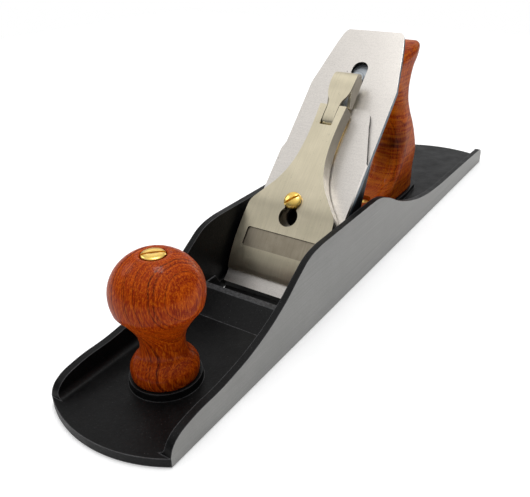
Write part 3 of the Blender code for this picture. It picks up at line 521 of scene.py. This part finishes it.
IRON = ground_iron()
PAINT = black_paint()
FROG_PAINT = black_paint("frog_paint", 0.006, 0.014)
ACROSS = (60, 60, 1500)             # grinding lines that run across the blade
BLADE_STEEL = satin_steel("blade_steel", (0.77, 0.73, 0.685), (0.68, 0.645, 0.605), ACROSS)
BRIGHT_STEEL = satin_steel("bright_steel", (0.52, 0.53, 0.54), (0.4, 0.41, 0.42), (500, 500, 500))
SHADED_STEEL = satin_steel("shaded_steel", (0.035, 0.034, 0.033), (0.02, 0.02, 0.02), ACROSS,
                           (0.5, 0.6))
# painted shade: a darker, bluish copy of the blade steel for the blade's long sides
SIDE_SHADE_STEEL = satin_steel("side_shade_steel", (0.16, 0.2, 0.235), (0.1, 0.125, 0.15), ACROSS, (0.4, 0.5))
LEVER_STEEL = satin_steel("lever_steel", (0.42, 0.45, 0.48), (0.36, 0.385, 0.41),
                          (300, 300, 300), (0.5, 0.6))
NICKEL = nickel("satin_nickel", (0.72, 0.65, 0.49), (0.63, 0.57, 0.42))
# painted shade: a darker copy of the nickel for side walls
SIDE_SHADE_NICKEL = nickel("side_shade_nickel", (0.3, 0.275, 0.225), (0.22, 0.2, 0.165))
# painted shadow: near-black nickel for the sunk panel's walls
PANEL_WALL_SHADOW_NICKEL = nickel("panel_wall_shadow_nickel", (0.02, 0.016, 0.012), (0.012, 0.01, 0.008))
# painted shade: a darker copy of the nickel for the sunk panel's floor
SUNK_PANEL_SHADE_NICKEL = nickel("sunk_panel_shade_nickel", (0.5, 0.44, 0.34), (0.36, 0.31, 0.23))
# painted highlight: a lighter black for the rib's crest and foot line, where they catch the light
RIB_HIGHLIGHT_PAINT = black_paint("rib_highlight_paint", 0.02, 0.09)
BRASS = polished_brass()
PORE_SCALE = (2300, 1500, 260)
KNOB_WOOD = lacquered_wood("knob_wood", (0, 0.32, 0.13), 0.0026, None, PORE_SCALE)
TOTE_WOOD = lacquered_wood("tote_wood", (-0.5, 0.35, 0.2), 0.0034,
                           ((0.005, 0.078, 0.05), 0.019), PORE_SCALE)


# ---- body casting ------------------------------------------------------------------------
def plan_outline():
    toe = math.degrees(math.asin(HALF_WIDTH / TOE_RADIUS))
    heel = math.degrees(math.asin(HALF_WIDTH / HEEL_RADIUS))
    return (arc((0, TOE_RADIUS - HALF_LENGTH), TOE_RADIUS, 270 - toe, 270 + toe, 40)
            + arc((0, HALF_LENGTH - HEEL_RADIUS), HEEL_RADIUS, 90 - heel, 90 + heel, 40))


def cheek_outline():
    end = HALF_LENGTH + 1
    rise = [(-217, 4.6), (-215.6, 8.6, 1), (-212, 12, 1), (-203, 14.6, 1), (-177, 16.3, 1),
            (-151, 21.4, 1), (-129, 30.4, 1), (-113, 40.4, 1), (-104, 45.4, 1)]
    fall = [(-16, 47.2, 1), (-4, 43.6, 1), (19, 32.9, 1), (43, 24.6, 1), (68, 19, 1),
            (96, 16.1, 1), (145, 14.8, 1), (207, 13.2, 1), (214, 12.7, 1), (217.6, 9.6, 1),
            (218, 4.6)]
    return ([(-end, 0), (-end, FLOOR)] + rise + [(-92, CHEEK - 0.2, 1), (-82, CHEEK), (-29, CHEEK)]
            + fall + [(end, FLOOR), (end, 0)])


def ramp_z(y):
    return RAMP_START[1] + (y - RAMP_START[0]) * math.tan(RAMP_ANGLE)


def rear_anchor(x):
    return Vector((x, RAMP_END_Y, ramp_z(RAMP_END_Y) - REAR_SCREW_DEPTH)) * MM


RAMP_WAY = Vector((0, math.cos(RAMP_ANGLE), math.sin(RAMP_ANGLE)))


def tote_way():
    return (TOTE_HEAD - TOTE_FOOT).normalized()


def casting():
    body = prism("body_casting", cheek_outline(), -HALF_WIDTH, HALF_WIDTH, SIDE)
    keep(body, prism("plan", plan_outline(), -1, 60))
    inner, foot = CHANNEL_HALF, 3.4
    half = [(inner + 0.5, 60)] + arc((inner - foot, FLOOR + foot), foot, 0, -90, 8)
    end_on = Matrix(((1, 0, 0, 0), (0, 0, -1, 0), (0, 1, 0, 0), (0, 0, 0, 1)))
    cut(body, prism("channel", mirrored(half), -HALF_LENGTH - 5, HALF_LENGTH + 5, end_on))
    rib = [(-127.5, 3.5), (-127.5, 4.5), (-124.5, 5.2, 1), (-111.5, 10.7, 1), (-109.4, 11.5),
           (-97, 11.5), (-92, 3)]
    bed = [(RAMP_START[0] - RAMP_START[1] + 2, 2), RAMP_START,
           (RAMP_END_Y - 2, ramp_z(RAMP_END_Y - 2)), (RAMP_END_Y, ramp_z(RAMP_END_Y) - 1.5),
           (RAMP_END_Y, 2)]
    join(body, prism("rib", rib, -CHANNEL_HALF - 1.5, CHANNEL_HALF + 1.5, SIDE),
         prism("bed", bed, -27, 27, SIDE))
    tote_boss = [(26, -7), (26, 7), (34, 11, 1), (60, 13, 1), (104, 13, 1), (120, 9, 1),
                 (123.5, 0, 1), (120, -9, 1), (104, -13, 1), (60, -13, 1), (34, -11, 1)]
    join(body, rod("knob_boss", 18.4, (0, KNOB_Y * MM, 2 * MM),
                   (0, KNOB_Y * MM, BOSS_TOP * MM), 96, 17.6),
         prism("tote_boss", [(-x, y, *mark) for y, x, *mark in tote_boss], 2, BOSS_TOP))
    back = BED_FOOT_Y + 3.6 * 2 * S
    mouth = [(-93.9, -1), (-93.9, 2.2), (-106.87, 12.6), (back + 12.6, 12.6), (back - 1, -1)]
    cut(body, prism("mouth", mouth, -31.6, 31.6, SIDE))
    soften(body, 0.6, 2, 28)
    for side in (-1, 0, 1):
        anchor = rear_anchor(side * PIN_X)
        cut(body, rod("rear_hole", 3.3, anchor - RAMP_WAY * 24 * MM, anchor + RAMP_WAY * 2 * MM))
    body.data.materials.clear()
    skin = 0.12
    for look in (PAINT, IRON, RIB_HIGHLIGHT_PAINT):
        body.data.materials.append(look)
    for face in body.data.polygons:
        on_side = abs(face.center.x) > (HALF_WIDTH - skin) * MM and abs(face.normal.x) > 0.9
        on_sole = face.center.z < skin * MM and face.normal.z < -0.9
        y = min(body.data.vertices[v].co.y for v in face.vertices) / MM
        z = face.center.z / MM
        on_rib = abs(face.center.x) < CHANNEL_HALF * MM and face.normal.z > 0.3
        crest = -110.2 < y < -105.2 and z > 11.1
        lip = -128.3 < y < -126.9 and z > 4.3
        # the rib's crest and the line along its foot take the painted highlight
        painted_rib_highlight = on_rib and (crest or lip)
        face.material_index = 1 if on_side or on_sole else 2 if painted_rib_highlight else 0
    return dress(body, "plane_body", ["sole_body"], None)


# ---- blade and cap iron ------------------------------------------------------------------
def slot_outline(half, low, high):
    return arc((0, high), half, 0, 180, 24) + arc((0, low), half, 180, 360, 24)


def blade():
    top, edge, thick, tip = 192.7, 0.8, 3, 3.2
    outline = [(-30, edge), (30, edge), (30, 150.3), (20.6, 190.6, 1), (18.6, top),
               (-18.6, top), (-20.6, 190.6, 1), (-30, 150.3)]
    body = prism("plane_blade", outline, -thick, 0, BED)
    rise = math.tan(math.radians(25))
    bevel = [(edge - 1, rise), (edge + thick / rise + 0.01, -thick - 0.01),
             (edge + thick / rise, -5), (edge - 1, -5)]
    cut(body, prism("grind", bevel, -31, 31, BED_SIDE))
    cut(body, prism("slot", slot_outline(5.3, 54, 163.3), -5, 2, BED),
        prism("pass", arc((0, 54), 9, 0, 352.5, 47), -5, 2, BED))
    soften(body, 0.22, 2, 30)
    split_at(body, bed_point(tip, 0), BED.to_3x3() @ Vector((0, 1, 0)))

    def choose(at, way):
        """The tip and the slot's walls are in shade; the long sides get a darker, bluish painted shade.
        """
        if abs(way.z) > 0.5:
            return 1 if at.y < tip else 0
        return 1 if abs(at.x) < 10 else 2

    paint_faces(body, [BLADE_STEEL, SHADED_STEEL, SIDE_SHADE_STEEL], choose)
    return dress(body, "blade_body", ["blade"], None)


def cap_iron():
    profile = [(2.8, 0.35), (4.9, 4), (26, 4.1), (31, 3, 1), (36, 2.8), (133, 2.8), (133, 0.3),
               (33, 0.3), (26, 1.2, 1), (16, 1.4, 1), (8, 1, 1), (3.6, 0.35)]
    body = prism("chip_breaker", profile, -30, 30, BED_SIDE)
    half = [(31, 0), (31, 97.5), (29.9, 97.9), (22.4, 122), (21.2, 127, 1), (19.2, 131.2, 1),
            (15.2, 133)]
    keep(body, prism("plan", mirrored(half), -1, 9, BED))
    cut(body, prism("keyhole", slot_outline(4.6, 58.5, 72), -1, 9, BED),
        prism("round", arc((0, 56), 7.2, 0, 352.5, 47), -1, 9, BED),
        box("window", (-4.6, 91.9, -1), (4.6, 99.5, 9), BED),
        rod("screw_hole", 3.7, bed_point(118, -1), bed_point(118, 9)))
    soften(body, 0.22, 2, 30)

    def choose(at, way):
        """The front edge and the shoulders towards the top are in shade."""
        return int(way.y < -0.45 and at.y < 5 or way.z < 0.9 and at.y > 90)

    paint_faces(body, [BLADE_STEEL, SHADED_STEEL], choose)
    return dress(body, "blade_body", ["cap_iron"], None)


# ---- lever cap ---------------------------------------------------------------------------
def lever_cap_plan(i=0.0):
    """The cap seen square to the bed; i is an inset."""
    half = [(29.5 - i, 13 + i), (29.5 - i, 50.5 - i / 3, 1), (28.4 - i, 56 - i / 3, 1),
            (24.8 - i, 61 - i / 2, 1), (20.6 - i, 66.2 - i / 2, 1), (15 - i, 74.5 - i / 3, 1),
            (11.2 - i, 84, 1), (9 - i, 96, 1), (8.4 - i, 110, 1), (9 - i, 127.4 - i * 2)]
    return mirrored(half)


def lever_cap_top(i=0.0):
    """The cap's upper face seen from the side; i is an inset."""
    return [(12.9 + i, 6.4 - i), (16, 8 - i, 1), (24, 10.4 - i, 1), (34, 11.9 - i, 1),
            (44, 12.8 - i, 1), (52, 13.7 - i, 1), (60, 14.8 - i, 1), (72, 15.2 - i, 1),
            (90, 15 - i, 1), (110, 14.6 - i, 1), (130, 14.2 - i)]


def lever_cap():
    flange = 4.4
    side = lever_cap_top() + [(130, flange), (12.9, 4.5)]
    body = prism("lever_cap_casting", side, -30, 30, BED_SIDE)
    keep(body, prism("plan", lever_cap_plan(), 0, 20, BED))
    hollow = prism("hollow", lever_cap_top(3.2)[2:] + [(130, 2), (22, 2)], -30, 30, BED_SIDE)
    keep(hollow, prism("hollow_plan", lever_cap_plan(2.1), 0, 20, BED))
    cut(body, hollow)
    join(body, box("spring_seat", (-7.5, 92, flange), (7.5, 101, 13), BED))
    panel_low, panel_high, panel_half, panel_floor, corner = 27.8, 39.8, 23.7, 9.8, 1.4
    panel_side = [(panel_low, panel_floor), (panel_high, 11.3), (panel_high, 20), (panel_low, 20)]
    panel = prism("panel", panel_side, -panel_half, panel_half, BED_SIDE)
    rounded = mirrored(arc((panel_half - corner, panel_low + corner), corner, -90, 0, 6)
                       + arc((panel_half - corner, panel_high - corner), corner, 0, 90, 6))
    cut(body, keep(panel, prism("panel_plan", rounded, 0, 20, BED)))
    tongue = (arc((-3.5, 113.9), 0.6, 180, 270, 6) + arc((3.5, 113.9), 0.6, 270, 360, 6)
              + [(4.1, 132), (-4.1, 132)])
    cut(body, prism("keyhole_big", arc((0, KEYHOLE_T), 6.1, 0, 355, 71), 0, 20, BED),
        prism("keyhole_small", slot_outline(4, KEYHOLE_T, SCREW_T), 0, 20, BED),
        prism("tongue_slot", tongue, 0, 20, BED))
    soften(body, 0.45, 3, 34)

    def choose(at, way):
        """Side walls in painted shade, then the sunk panel's walls in painted shadow and its floor in
        painted shade.
        """
        if abs(way.x) > 0.75 and abs(at.x) > 7:
            near = panel_low - 0.8 < at.y < panel_high + 1.2
            return 2 if near and abs(at.x) < panel_half + 0.7 else 1
        inside = panel_low - 0.2 < at.y < panel_high + 0.2 and abs(at.x) < panel_half + 0.3
        sunk = abs(at.z - panel_floor - (at.y - panel_low) / 8) < 0.1
        return 2 if inside and way.z < 0.9 else 3 if inside and sunk else 0

    paint_faces(body, [NICKEL, SIDE_SHADE_NICKEL, PANEL_WALL_SHADOW_NICKEL, SUNK_PANEL_SHADE_NICKEL], choose)
    return dress(body, "lever_cap_body", ["lever_cap"], None)


def cam_lever():
    cam = (arc(CAM, 4.6, 165, 330, 30)
           + [(124, 11), (131, 12), (137, 12.6), (137, 14.5), (128, 14.2), (120, 14.2),
              (116.8, 13.9), (115.4, 13), (114.6, 11.8)])
    body = prism("cam_lever_body", cam, -3.75, 3.75, BED_SIDE)
    plate_side = [(128, 12.7), (140, 12.9), (148.3, 12.6, 1), (150.7, 11, 1), (151.5, 8), (153, 8),
                  (152.6, 11, 1), (150.6, 13.5, 1), (147, 14.6, 1), (137, 14.5), (128, 14.2)]
    plate = prism("plate", plate_side, -9, 9, BED_SIDE)
    front = [(3.75, 127), (4.4, 130.4, 1), (6.6, 134.6, 1), (7.7, 139, 1), (7.8, 156)]
    keep(plate, prism("plan", mirrored(front), 0, 20, BED))
    flange = [(130, 8), (134, 10.2, 1), (137.5, 13.2), (147.5, 13, 1), (151, 11, 1), (152.3, 8.2),
              (151.2, 6, 1), (147, 4.4), (132, 4), (130, 6)]
    sides = [(-7.8, -6), (6, 7.8)]
    join(body, plate, *[prism("flange", flange, low, high, BED_SIDE) for low, high in sides])
    soften(body, 0.35, 3, 34)
    # the cam lever's side walls take a darker nickel: painted shade
    paint_faces(body, [NICKEL, SIDE_SHADE_NICKEL], lambda at, way: int(abs(way.x) > 0.75))
    return dress(body, "cam_body", ["cam_lever"], None)


# ---- screws and brass --------------------------------------------------------------------
def slotted(name, place, profile, depth, width, body, node):
    """A turned brass screw or nut with a driver's slot across its head."""
    item = turned(name, profile, place)
    top = profile[0][1]
    reach = max(r for r, z in profile) + 1
    cut(item, box("slot", (-reach, -width / 2, top - depth), (reach, width / 2, top + 3), place))
    soften(item, 0.12, 2, 40)
    return dress(item, body, [node], BRASS)


def dome(radius, base, rise, step):
    """The (radius, height) points of a domed head, from its crown to its rim."""
    turns = [math.radians(d) for d in range(0, 91, step)]
    return [(radius * math.sin(a), base + rise * math.cos(a)) for a in turns]


def turn_to(way):
    return way.to_track_quat("Z", "X").to_matrix().to_4x4()


def brass_fittings():
    place = BED @ Matrix.Translation((0, SCREW_T * MM, 0)) @ Matrix.Rotation(math.radians(44), 4, "Z")
    screw = dome(5.4, 16.1, 2.2, 6) + [(5.4, 15.5), (3, 15.5), (3, -12.8), (0, -12.8)]
    slotted("cap_screw", place, screw, 1.7, 1.5, "frog_body", "lever_cap_screw")
    knob = Matrix.Translation((0, KNOB_Y * MM, 0)) @ Matrix.Rotation(math.radians(47), 4, "Z")
    nut = [(0, 72.9), (3, 72.86), (4.6, 72.66), (5.3, 72.4), (5.6, 72), (5.6, 69), (4.2, 68.9),
           (4.2, 48), (3.2, 48), (3.2, 62), (0, 62)]
    slotted("knob_cap_nut", knob, nut, 1.6, 1.4, "plane_body", "knob_nut")
    head = Matrix.Translation(TOTE_HEAD * MM) @ turn_to(tote_way())
    nut = [(0, 0.6), (3, 0.56), (4.6, 0.36), (5.3, 0.1), (5.6, -0.3), (5.6, -3), (4.2, -3.1),
           (4.2, -24), (3.2, -24), (3.2, -10), (0, -10)]
    slotted("tote_cap_nut", head, nut, 1.2, 1.1, "plane_body", "tote_nut")
    toe = Matrix.Translation((0, TOE_SCREW_Y * MM, 0)) @ Matrix.Rotation(math.radians(25), 4, "Z")
    screw = dome(4.6, 14.9, 2.7, 9) + [(4.6, 14.3), (1.9, 14.3), (1.9, 2.4), (0, 2.4)]
    slotted("toe_screw", toe, screw, 1.1, 1, "plane_body", "tote_toe_screw")


def depth_wheel():
    """The brass disc with a knurled rim."""
    place = Matrix.Translation((0, 0, STUD_Z * MM)) @ Matrix.Rotation(-math.pi / 2, 4, "X")
    profile = [(3.4, 5), (6.6, 5), (7.4, 4.8), (11, 3.4), (13.4, 3.2), (14.1, 2.8), (14.4, 2.2),
               (14.4, -1.9), (14.1, -2.5), (13.4, -2.9), (3.4, -2.9)]
    teeth, tooth_depth, rim = 72, 0.28, 13.9
    body = turned("knurled_wheel", profile, LEVEL, teeth * 4, True)
    for vert in body.data.vertices:
        radius = math.hypot(vert.co.x, vert.co.y)
        if radius > rim * MM:
            turn = math.atan2(vert.co.y, vert.co.x)
            scale = 1 - tooth_depth * MM * (0.5 + 0.5 * math.cos(teeth * turn)) / radius
            vert.co.x *= scale
            vert.co.y *= scale
    body.data.transform(place)
    return dress(body, "wheel_body", ["depth_wheel"], BRASS, 25)


# ---- wood --------------------------------------------------------------------------------
def front_knob():
    centre, radius, rise = 53.2, 22.1, 20.3
    ball = [(radius * math.cos(a), centre + (rise if a > 0 else radius) * math.sin(a))
            for a in [math.radians(d) for d in range(66, -22, -6)]]
    base = BOSS_TOP + GAP
    neck = smooth_curve([(19.6, 44.6), (17.6, 42), (14.2, 37), (11.9, 32.6), (10.9, 28.4),
                         (10.85, 24), (12, 20.4), (14.6, 17.4), (16.3, 14.4), (16.5, 11),
                         (16, base)], 5)[3:]
    bore = [(3.3, base), (3.3, 46), (4.6, 46), (4.6, 68.6), (6, 68.6), (6, 71.4), (6.5, 71.9),
            (7.6, 71.95)]
    place = Matrix.Translation((0, KNOB_Y * MM, 0))
    body = turned("knob_wood_piece", ball + neck + bore, place, 120, True)
    return dress(body, "plane_body", ["front_knob"], KNOB_WOOD, 50)


def tote_outline():
    base = BOSS_TOP + GAP
    front = [(28, base), (27.4, 12, 1), (29.5, 15.6, 1), (36, 17.6, 1), (47, 19.2, 1), (58, 22.2, 1),
             (66.5, 28, 1), (72.5, 36, 1), (76.6, 46, 1), (77.4, 56, 1), (74.6, 69, 1), (68, 82, 1),
             (60, 93, 1), (52.5, 101, 1), (49.2, 107.5, 1), (50.4, 113, 1), (56.5, 117.6, 1)]
    back = [(68, 120.6, 1), (84, 122.8, 1), (99, 122.8, 1), (108.5, 121.4, 1), (112.4, 118, 1),
            (110.6, 114, 1), (104, 109.4, 1), (96.5, 104, 1), (91.6, 97, 1), (90.8, 88, 1),
            (95.4, 78, 1), (103.4, 67, 1), (110.6, 55, 1), (116, 41, 1), (119, 26, 1), (119.6, base)]
    return front + back


def drawn_outline(points, steps):
    """The points that Blender draws for an outline, in millimetres."""
    item = prism("drawn", points, -1, 1, LEVEL, steps)
    verts = item.data.vertices
    tilts = {}
    for face in item.data.polygons:
        for key in face.edge_keys:
            tilts.setdefault(key, []).append(abs(face.normal.z))
    rim = {}
    for edge in item.data.edges:
        a, b = edge.vertices
        on_top = verts[a].co.z > 0 and verts[b].co.z > 0
        if on_top and min(tilts[tuple(sorted((a, b)))]) < 0.5:
            rim.setdefault(a, []).append(b)
            rim.setdefault(b, []).append(a)
    start = min(rim, key=lambda v: (verts[v].co.y, verts[v].co.x))
    loop, last = [start], None
    while True:
        ahead = [v for v in rim[loop[-1]] if v != last]
        last = loop[-1]
        if ahead[0] == start or len(loop) > len(rim):
            break
        loop.append(ahead[0])
    out = np.array([verts[v].co[:2] for v in loop]) / MM
    bpy.data.objects.remove(item, do_unlink=True)
    area = np.sum(out[:, 0] * np.roll(out[:, 1], -1) - np.roll(out[:, 0], -1) * out[:, 1])
    return out if area > 0 else out[::-1]


def evenly(points, step):
    """The closed outline with points an even step apart."""
    closed = np.vstack([points, points[:1]])
    run = np.r_[0, np.cumsum(np.linalg.norm(np.diff(closed, axis=0), axis=1))]
    where = np.linspace(0, run[-1], int(run[-1] / step), endpoint=False)
    return np.c_[np.interp(where, run, closed[:, 0]), np.interp(where, run, closed[:, 1])]


def tote():
    """The tote's side outline with flanks that round over towards its edge.

    The rounding is widest mm wide, or less where the wood allows only a share of its room.
    """
    half, widest, rings, step, share = 12.0, 9.5, 9, 1.1, 0.86
    rim = evenly(drawn_outline(tote_outline(), 12), step)
    ahead, behind = np.roll(rim, -1, axis=0), np.roll(rim, 1, axis=0)
    way = ahead - behind
    way /= np.linalg.norm(way, axis=1)[:, None]
    inward = np.c_[-way[:, 1], way[:, 0]]
    gap = rim[None] - rim[:, None]
    lean = np.einsum("ijk,ik->ij", gap, inward)
    square = np.einsum("ijk,ijk->ij", gap, gap)
    fits = np.where(lean > 1e-3, square / (2 * np.maximum(lean, 1e-3)), 99)
    reach = np.minimum(widest, share * fits.min(axis=1))
    on_boss = rim[:, 1] < BOSS_TOP + 2 * GAP
    reach[on_boss] = 0.5
    count = len(rim)
    for _ in range(60):
        reach = np.minimum(reach, (np.roll(reach, 1) + np.roll(reach, -1)) / 2 + 0.04)
    for _ in range(6):
        reach = (np.roll(reach, 1) + 2 * reach + np.roll(reach, -1)) / 4
    for _ in range(4):
        inward = np.roll(inward, 1, axis=0) + 2 * inward + np.roll(inward, -1, axis=0)
        inward /= np.linalg.norm(inward, axis=1)[:, None]
    foot_plan = np.array([(26, 3), (27.6, 5.4), (30, 7.4), (36, 9.6), (48, 11.4), (62, half), (98, half),
                          (108, 10.9), (114, 8.6), (118, 5.2), (120, 2.4)])
    horn_plan = np.array([(84, half), (96, 11), (104, 9.2), (110, 7.4), (116, 5.6)])

    def narrowing(points):
        """The tapers seen from above: both ends of the foot, and the horn."""
        y, z = points[:, 0], points[:, 1]
        low, high = np.clip((40 - z) / 14, 0, 1), np.clip((z - 96) / 12, 0, 1)
        foot = 1 - np.interp(y, foot_plan[:, 0], foot_plan[:, 1]) / half
        horn = 1 - np.interp(y, horn_plan[:, 0], horn_plan[:, 1]) / half
        return 1 - low * foot - high * horn

    def ring(turn):
        inset = rim + inward * (reach * (1 - math.cos(turn)))[:, None]
        return inset, (half - reach * (1 - math.sin(turn))) * narrowing(inset)

    def flat(loop):
        """Fills a flank inside its rim, over a grid of points."""
        edge = np.array([(v.co.y, v.co.z) for v in loop]) / MM
        u, v = np.meshgrid(np.arange(24, 124, 3.5), np.arange(8, 124, 3.5))
        inner = np.c_[u.ravel(), v.ravel()]
        after = np.roll(edge, -1, axis=0)
        rises = (edge[None, :, 1] > inner[:, None, 1]) != (after[None, :, 1] > inner[:, None, 1])
        slope = np.where(after[:, 1] == edge[:, 1], 1, after[:, 1] - edge[:, 1])
        cross = edge[:, 0] + (inner[:, None, 1] - edge[:, 1]) * (after[:, 0] - edge[:, 0]) / slope
        inside = np.sum(rises & (inner[:, None, 0] < cross), axis=1) % 2 == 1
        far = np.linalg.norm(inner[:, None] - edge[None], axis=2).min(axis=1) > 1.2
        inner = inner[inside & far]
        sign = math.copysign(1, loop[0].co.x)
        verts = list(loop) + [bm.verts.new((sign * w * MM, p[0] * MM, p[1] * MM))
                              for p, w in zip(inner, half * narrowing(inner))]
        spots = [Vector(p) for p in np.vstack([edge, inner])]
        rims = [(i, (i + 1) % len(loop)) for i in range(len(loop))]
        filled = delaunay_2d_cdt(spots, rims, [list(range(len(loop)))], 1, 1e-4)
        origin = [ids[0] for ids in filled[3]]
        for face in filled[2]:
            bm.faces.new([verts[origin[i]] for i in face])

    bm = bmesh.new()
    turns = [math.radians(90) * k / rings for k in range(rings + 1)]
    loops = []
    for turn in reversed(turns):
        inset, x = ring(turn)
        loops.append([bm.verts.new((w * MM, p[0] * MM, p[1] * MM)) for p, w in zip(inset, x)])
    for turn in turns:
        inset, x = ring(turn)
        loops.append([bm.verts.new((-w * MM, p[0] * MM, p[1] * MM)) for p, w in zip(inset, x)])
    for one, two in zip(loops, loops[1:]):
        for i in range(count):
            j = (i + 1) % count
            bm.faces.new((one[i], one[j], two[j], two[i]))
    flat(loops[0])
    flat(loops[-1])
    bmesh.ops.recalc_face_normals(bm, faces=bm.faces)
    body = from_bmesh("tote_wood_piece", bm)
    along = tote_way() * MM
    foot, head = TOTE_FOOT * MM, TOTE_HEAD * MM
    cut(body, rod("bore", 3.3, foot - along * 8, foot + along * 100))
    cut(body, rod("counterbore", 4.6, head - along * 25, head + along * 9))
    cut(body, rod("nut_seat", 6, head - along * 3.4, head + along * 9, 64))
    at = Vector((0, TOE_SCREW_Y * MM, 0))
    up = Vector((0, 0, MM))
    cut(body, rod("toe_bore", 2.3, at, at + up * 30),
        rod("toe_seat", 5.3, at + up * 14, at + up * 30, 64))
    return dress(body, "plane_body", ["tote"], TOTE_WOOD, 42)


# ---- CAD nodes that stay, with better materials ------------------------------------------
KEPT = {
    FROG_PAINT: ["frog"],
    BRIGHT_STEEL: ["frog_pin_left", "frog_pin_right", "frog_clamp_screw_left",
                   "frog_clamp_screw_right", "frog_adjust_screw", "frog_adjust_plate",
                   "frog_plate_screw", "depth_stud", "yoke", "yoke_pin", "lateral_pivot_pin",
                   "cap_iron_screw", "cam_pin", "spring_rivet", "knob_stud", "tote_stud"],
    LEVER_STEEL: ["lateral_lever", "lateral_disc"],
    BRASS: ["depth_wheel_hub", "lever_cap_spring"],
}


def dress_kept_nodes():
    for look, names in KEPT.items():
        for name in names:
            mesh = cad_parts[name].data
            mesh.materials.clear()
            mesh.materials.append(look)


# ---- camera, floor and light -------------------------------------------------------------
def camera():
    """Three-quarter view from the front left, a little above."""
    data = bpy.data.cameras.new("camera")
    data.lens = 42.17
    data.sensor_width = 36
    data.shift_x = -0.012
    data.shift_y = -0.00866
    data.clip_start = 0.01
    item = new_object("camera", data)
    item.location = (0.17342, -0.34969, 0.19847)
    heading, down, roll = math.radians(33.116), math.radians(27.154), math.radians(0.756)
    turn = (Matrix.Rotation(heading, 3, "Z") @ Matrix.Rotation(math.pi / 2 - down, 3, "X")
            @ Matrix.Rotation(-roll, 3, "Z"))
    item.rotation_euler = turn.to_euler()
    bpy.context.scene.camera = item


def sky(tree):
    """Soft studio surround: bright overhead, dimmer at the horizon, white behind the object."""
    place = tree.nodes.new("ShaderNodeTexCoord")
    split = tree.nodes.new("ShaderNodeSeparateXYZ")
    tree.links.new(place.outputs["Generated"], split.inputs[0])
    rise = tree.nodes.new("ShaderNodeValToRGB")
    rise.color_ramp.elements[0].position = 0.3
    rise.color_ramp.elements[0].color = (0.13, 0.135, 0.145, 1)
    rise.color_ramp.elements[1].position = 0.88
    rise.color_ramp.elements[1].color = (0.9, 0.9, 0.9, 1)
    tree.links.new(split.outputs["Z"], rise.inputs["Fac"])
    around = tree.nodes["Background"]
    tree.links.new(rise.outputs["Color"], around.inputs["Color"])
    around.inputs["Strength"].default_value = 1.0
    seen = tree.nodes.new("ShaderNodeBackground")
    seen.inputs["Color"].default_value = (1, 1, 1, 1)
    path = tree.nodes.new("ShaderNodeLightPath")
    pick = tree.nodes.new("ShaderNodeMixShader")
    tree.links.new(path.outputs["Is Camera Ray"], pick.inputs["Fac"])
    tree.links.new(around.outputs["Background"], pick.inputs[1])
    tree.links.new(seen.outputs["Background"], pick.inputs[2])
    tree.links.new(pick.outputs["Shader"], tree.nodes["World Output"].inputs["Surface"])


def studio():
    look = Look("pale_floor", (0.9, 0.9, 0.9), 0.9, Emission_Color=(1, 1, 1, 1),
                Emission_Strength=0.26)
    speckle = look.noise(look.place((1, 1, 1)), 40, 3, 0.5)
    look.colour(look.ramp(speckle, [(0.3, (0.88, 0.88, 0.88)), (0.7, (0.92, 0.92, 0.92))]))
    bm = bmesh.new()
    bmesh.ops.create_grid(bm, x_segments=1, y_segments=1, size=1)
    floor = from_bmesh("floor", bm)
    floor.location.z = -0.0004
    floor.data.materials.append(look.mat)
    world = bpy.data.worlds.new("studio")
    bpy.context.scene.world = world
    world.use_nodes = True
    sky(world.node_tree)
    bpy.context.scene.view_settings.view_transform = "Standard"
    panels = [("overhead", (0.05, -0.05, 1.2), 0.36, 5), ("left", (-1.3, -0.3, 0.9), 0.6, 2.4),
              ("rear", (-0.1, 1.4, 0.62), 0.9, 1.7), ("rear_left", (-1, 0.9, 0.75), 0.7, 1.6)]
    target = Vector((0, 0, 0.04))
    for name, place, size, power in panels:
        light = bpy.data.lights.new(name, "AREA")
        light.shape = "SQUARE"
        light.size = size
        light.energy = power
        item = new_object(name, light)
        item.location = place
        item.rotation_euler = (target - Vector(place)).to_track_quat("-Z", "Y").to_euler()


camera()
studio()
casting()
blade()
cap_iron()
lever_cap()
cam_lever()
brass_fittings()
depth_wheel()
front_knob()
tote()
dress_kept_nodes()
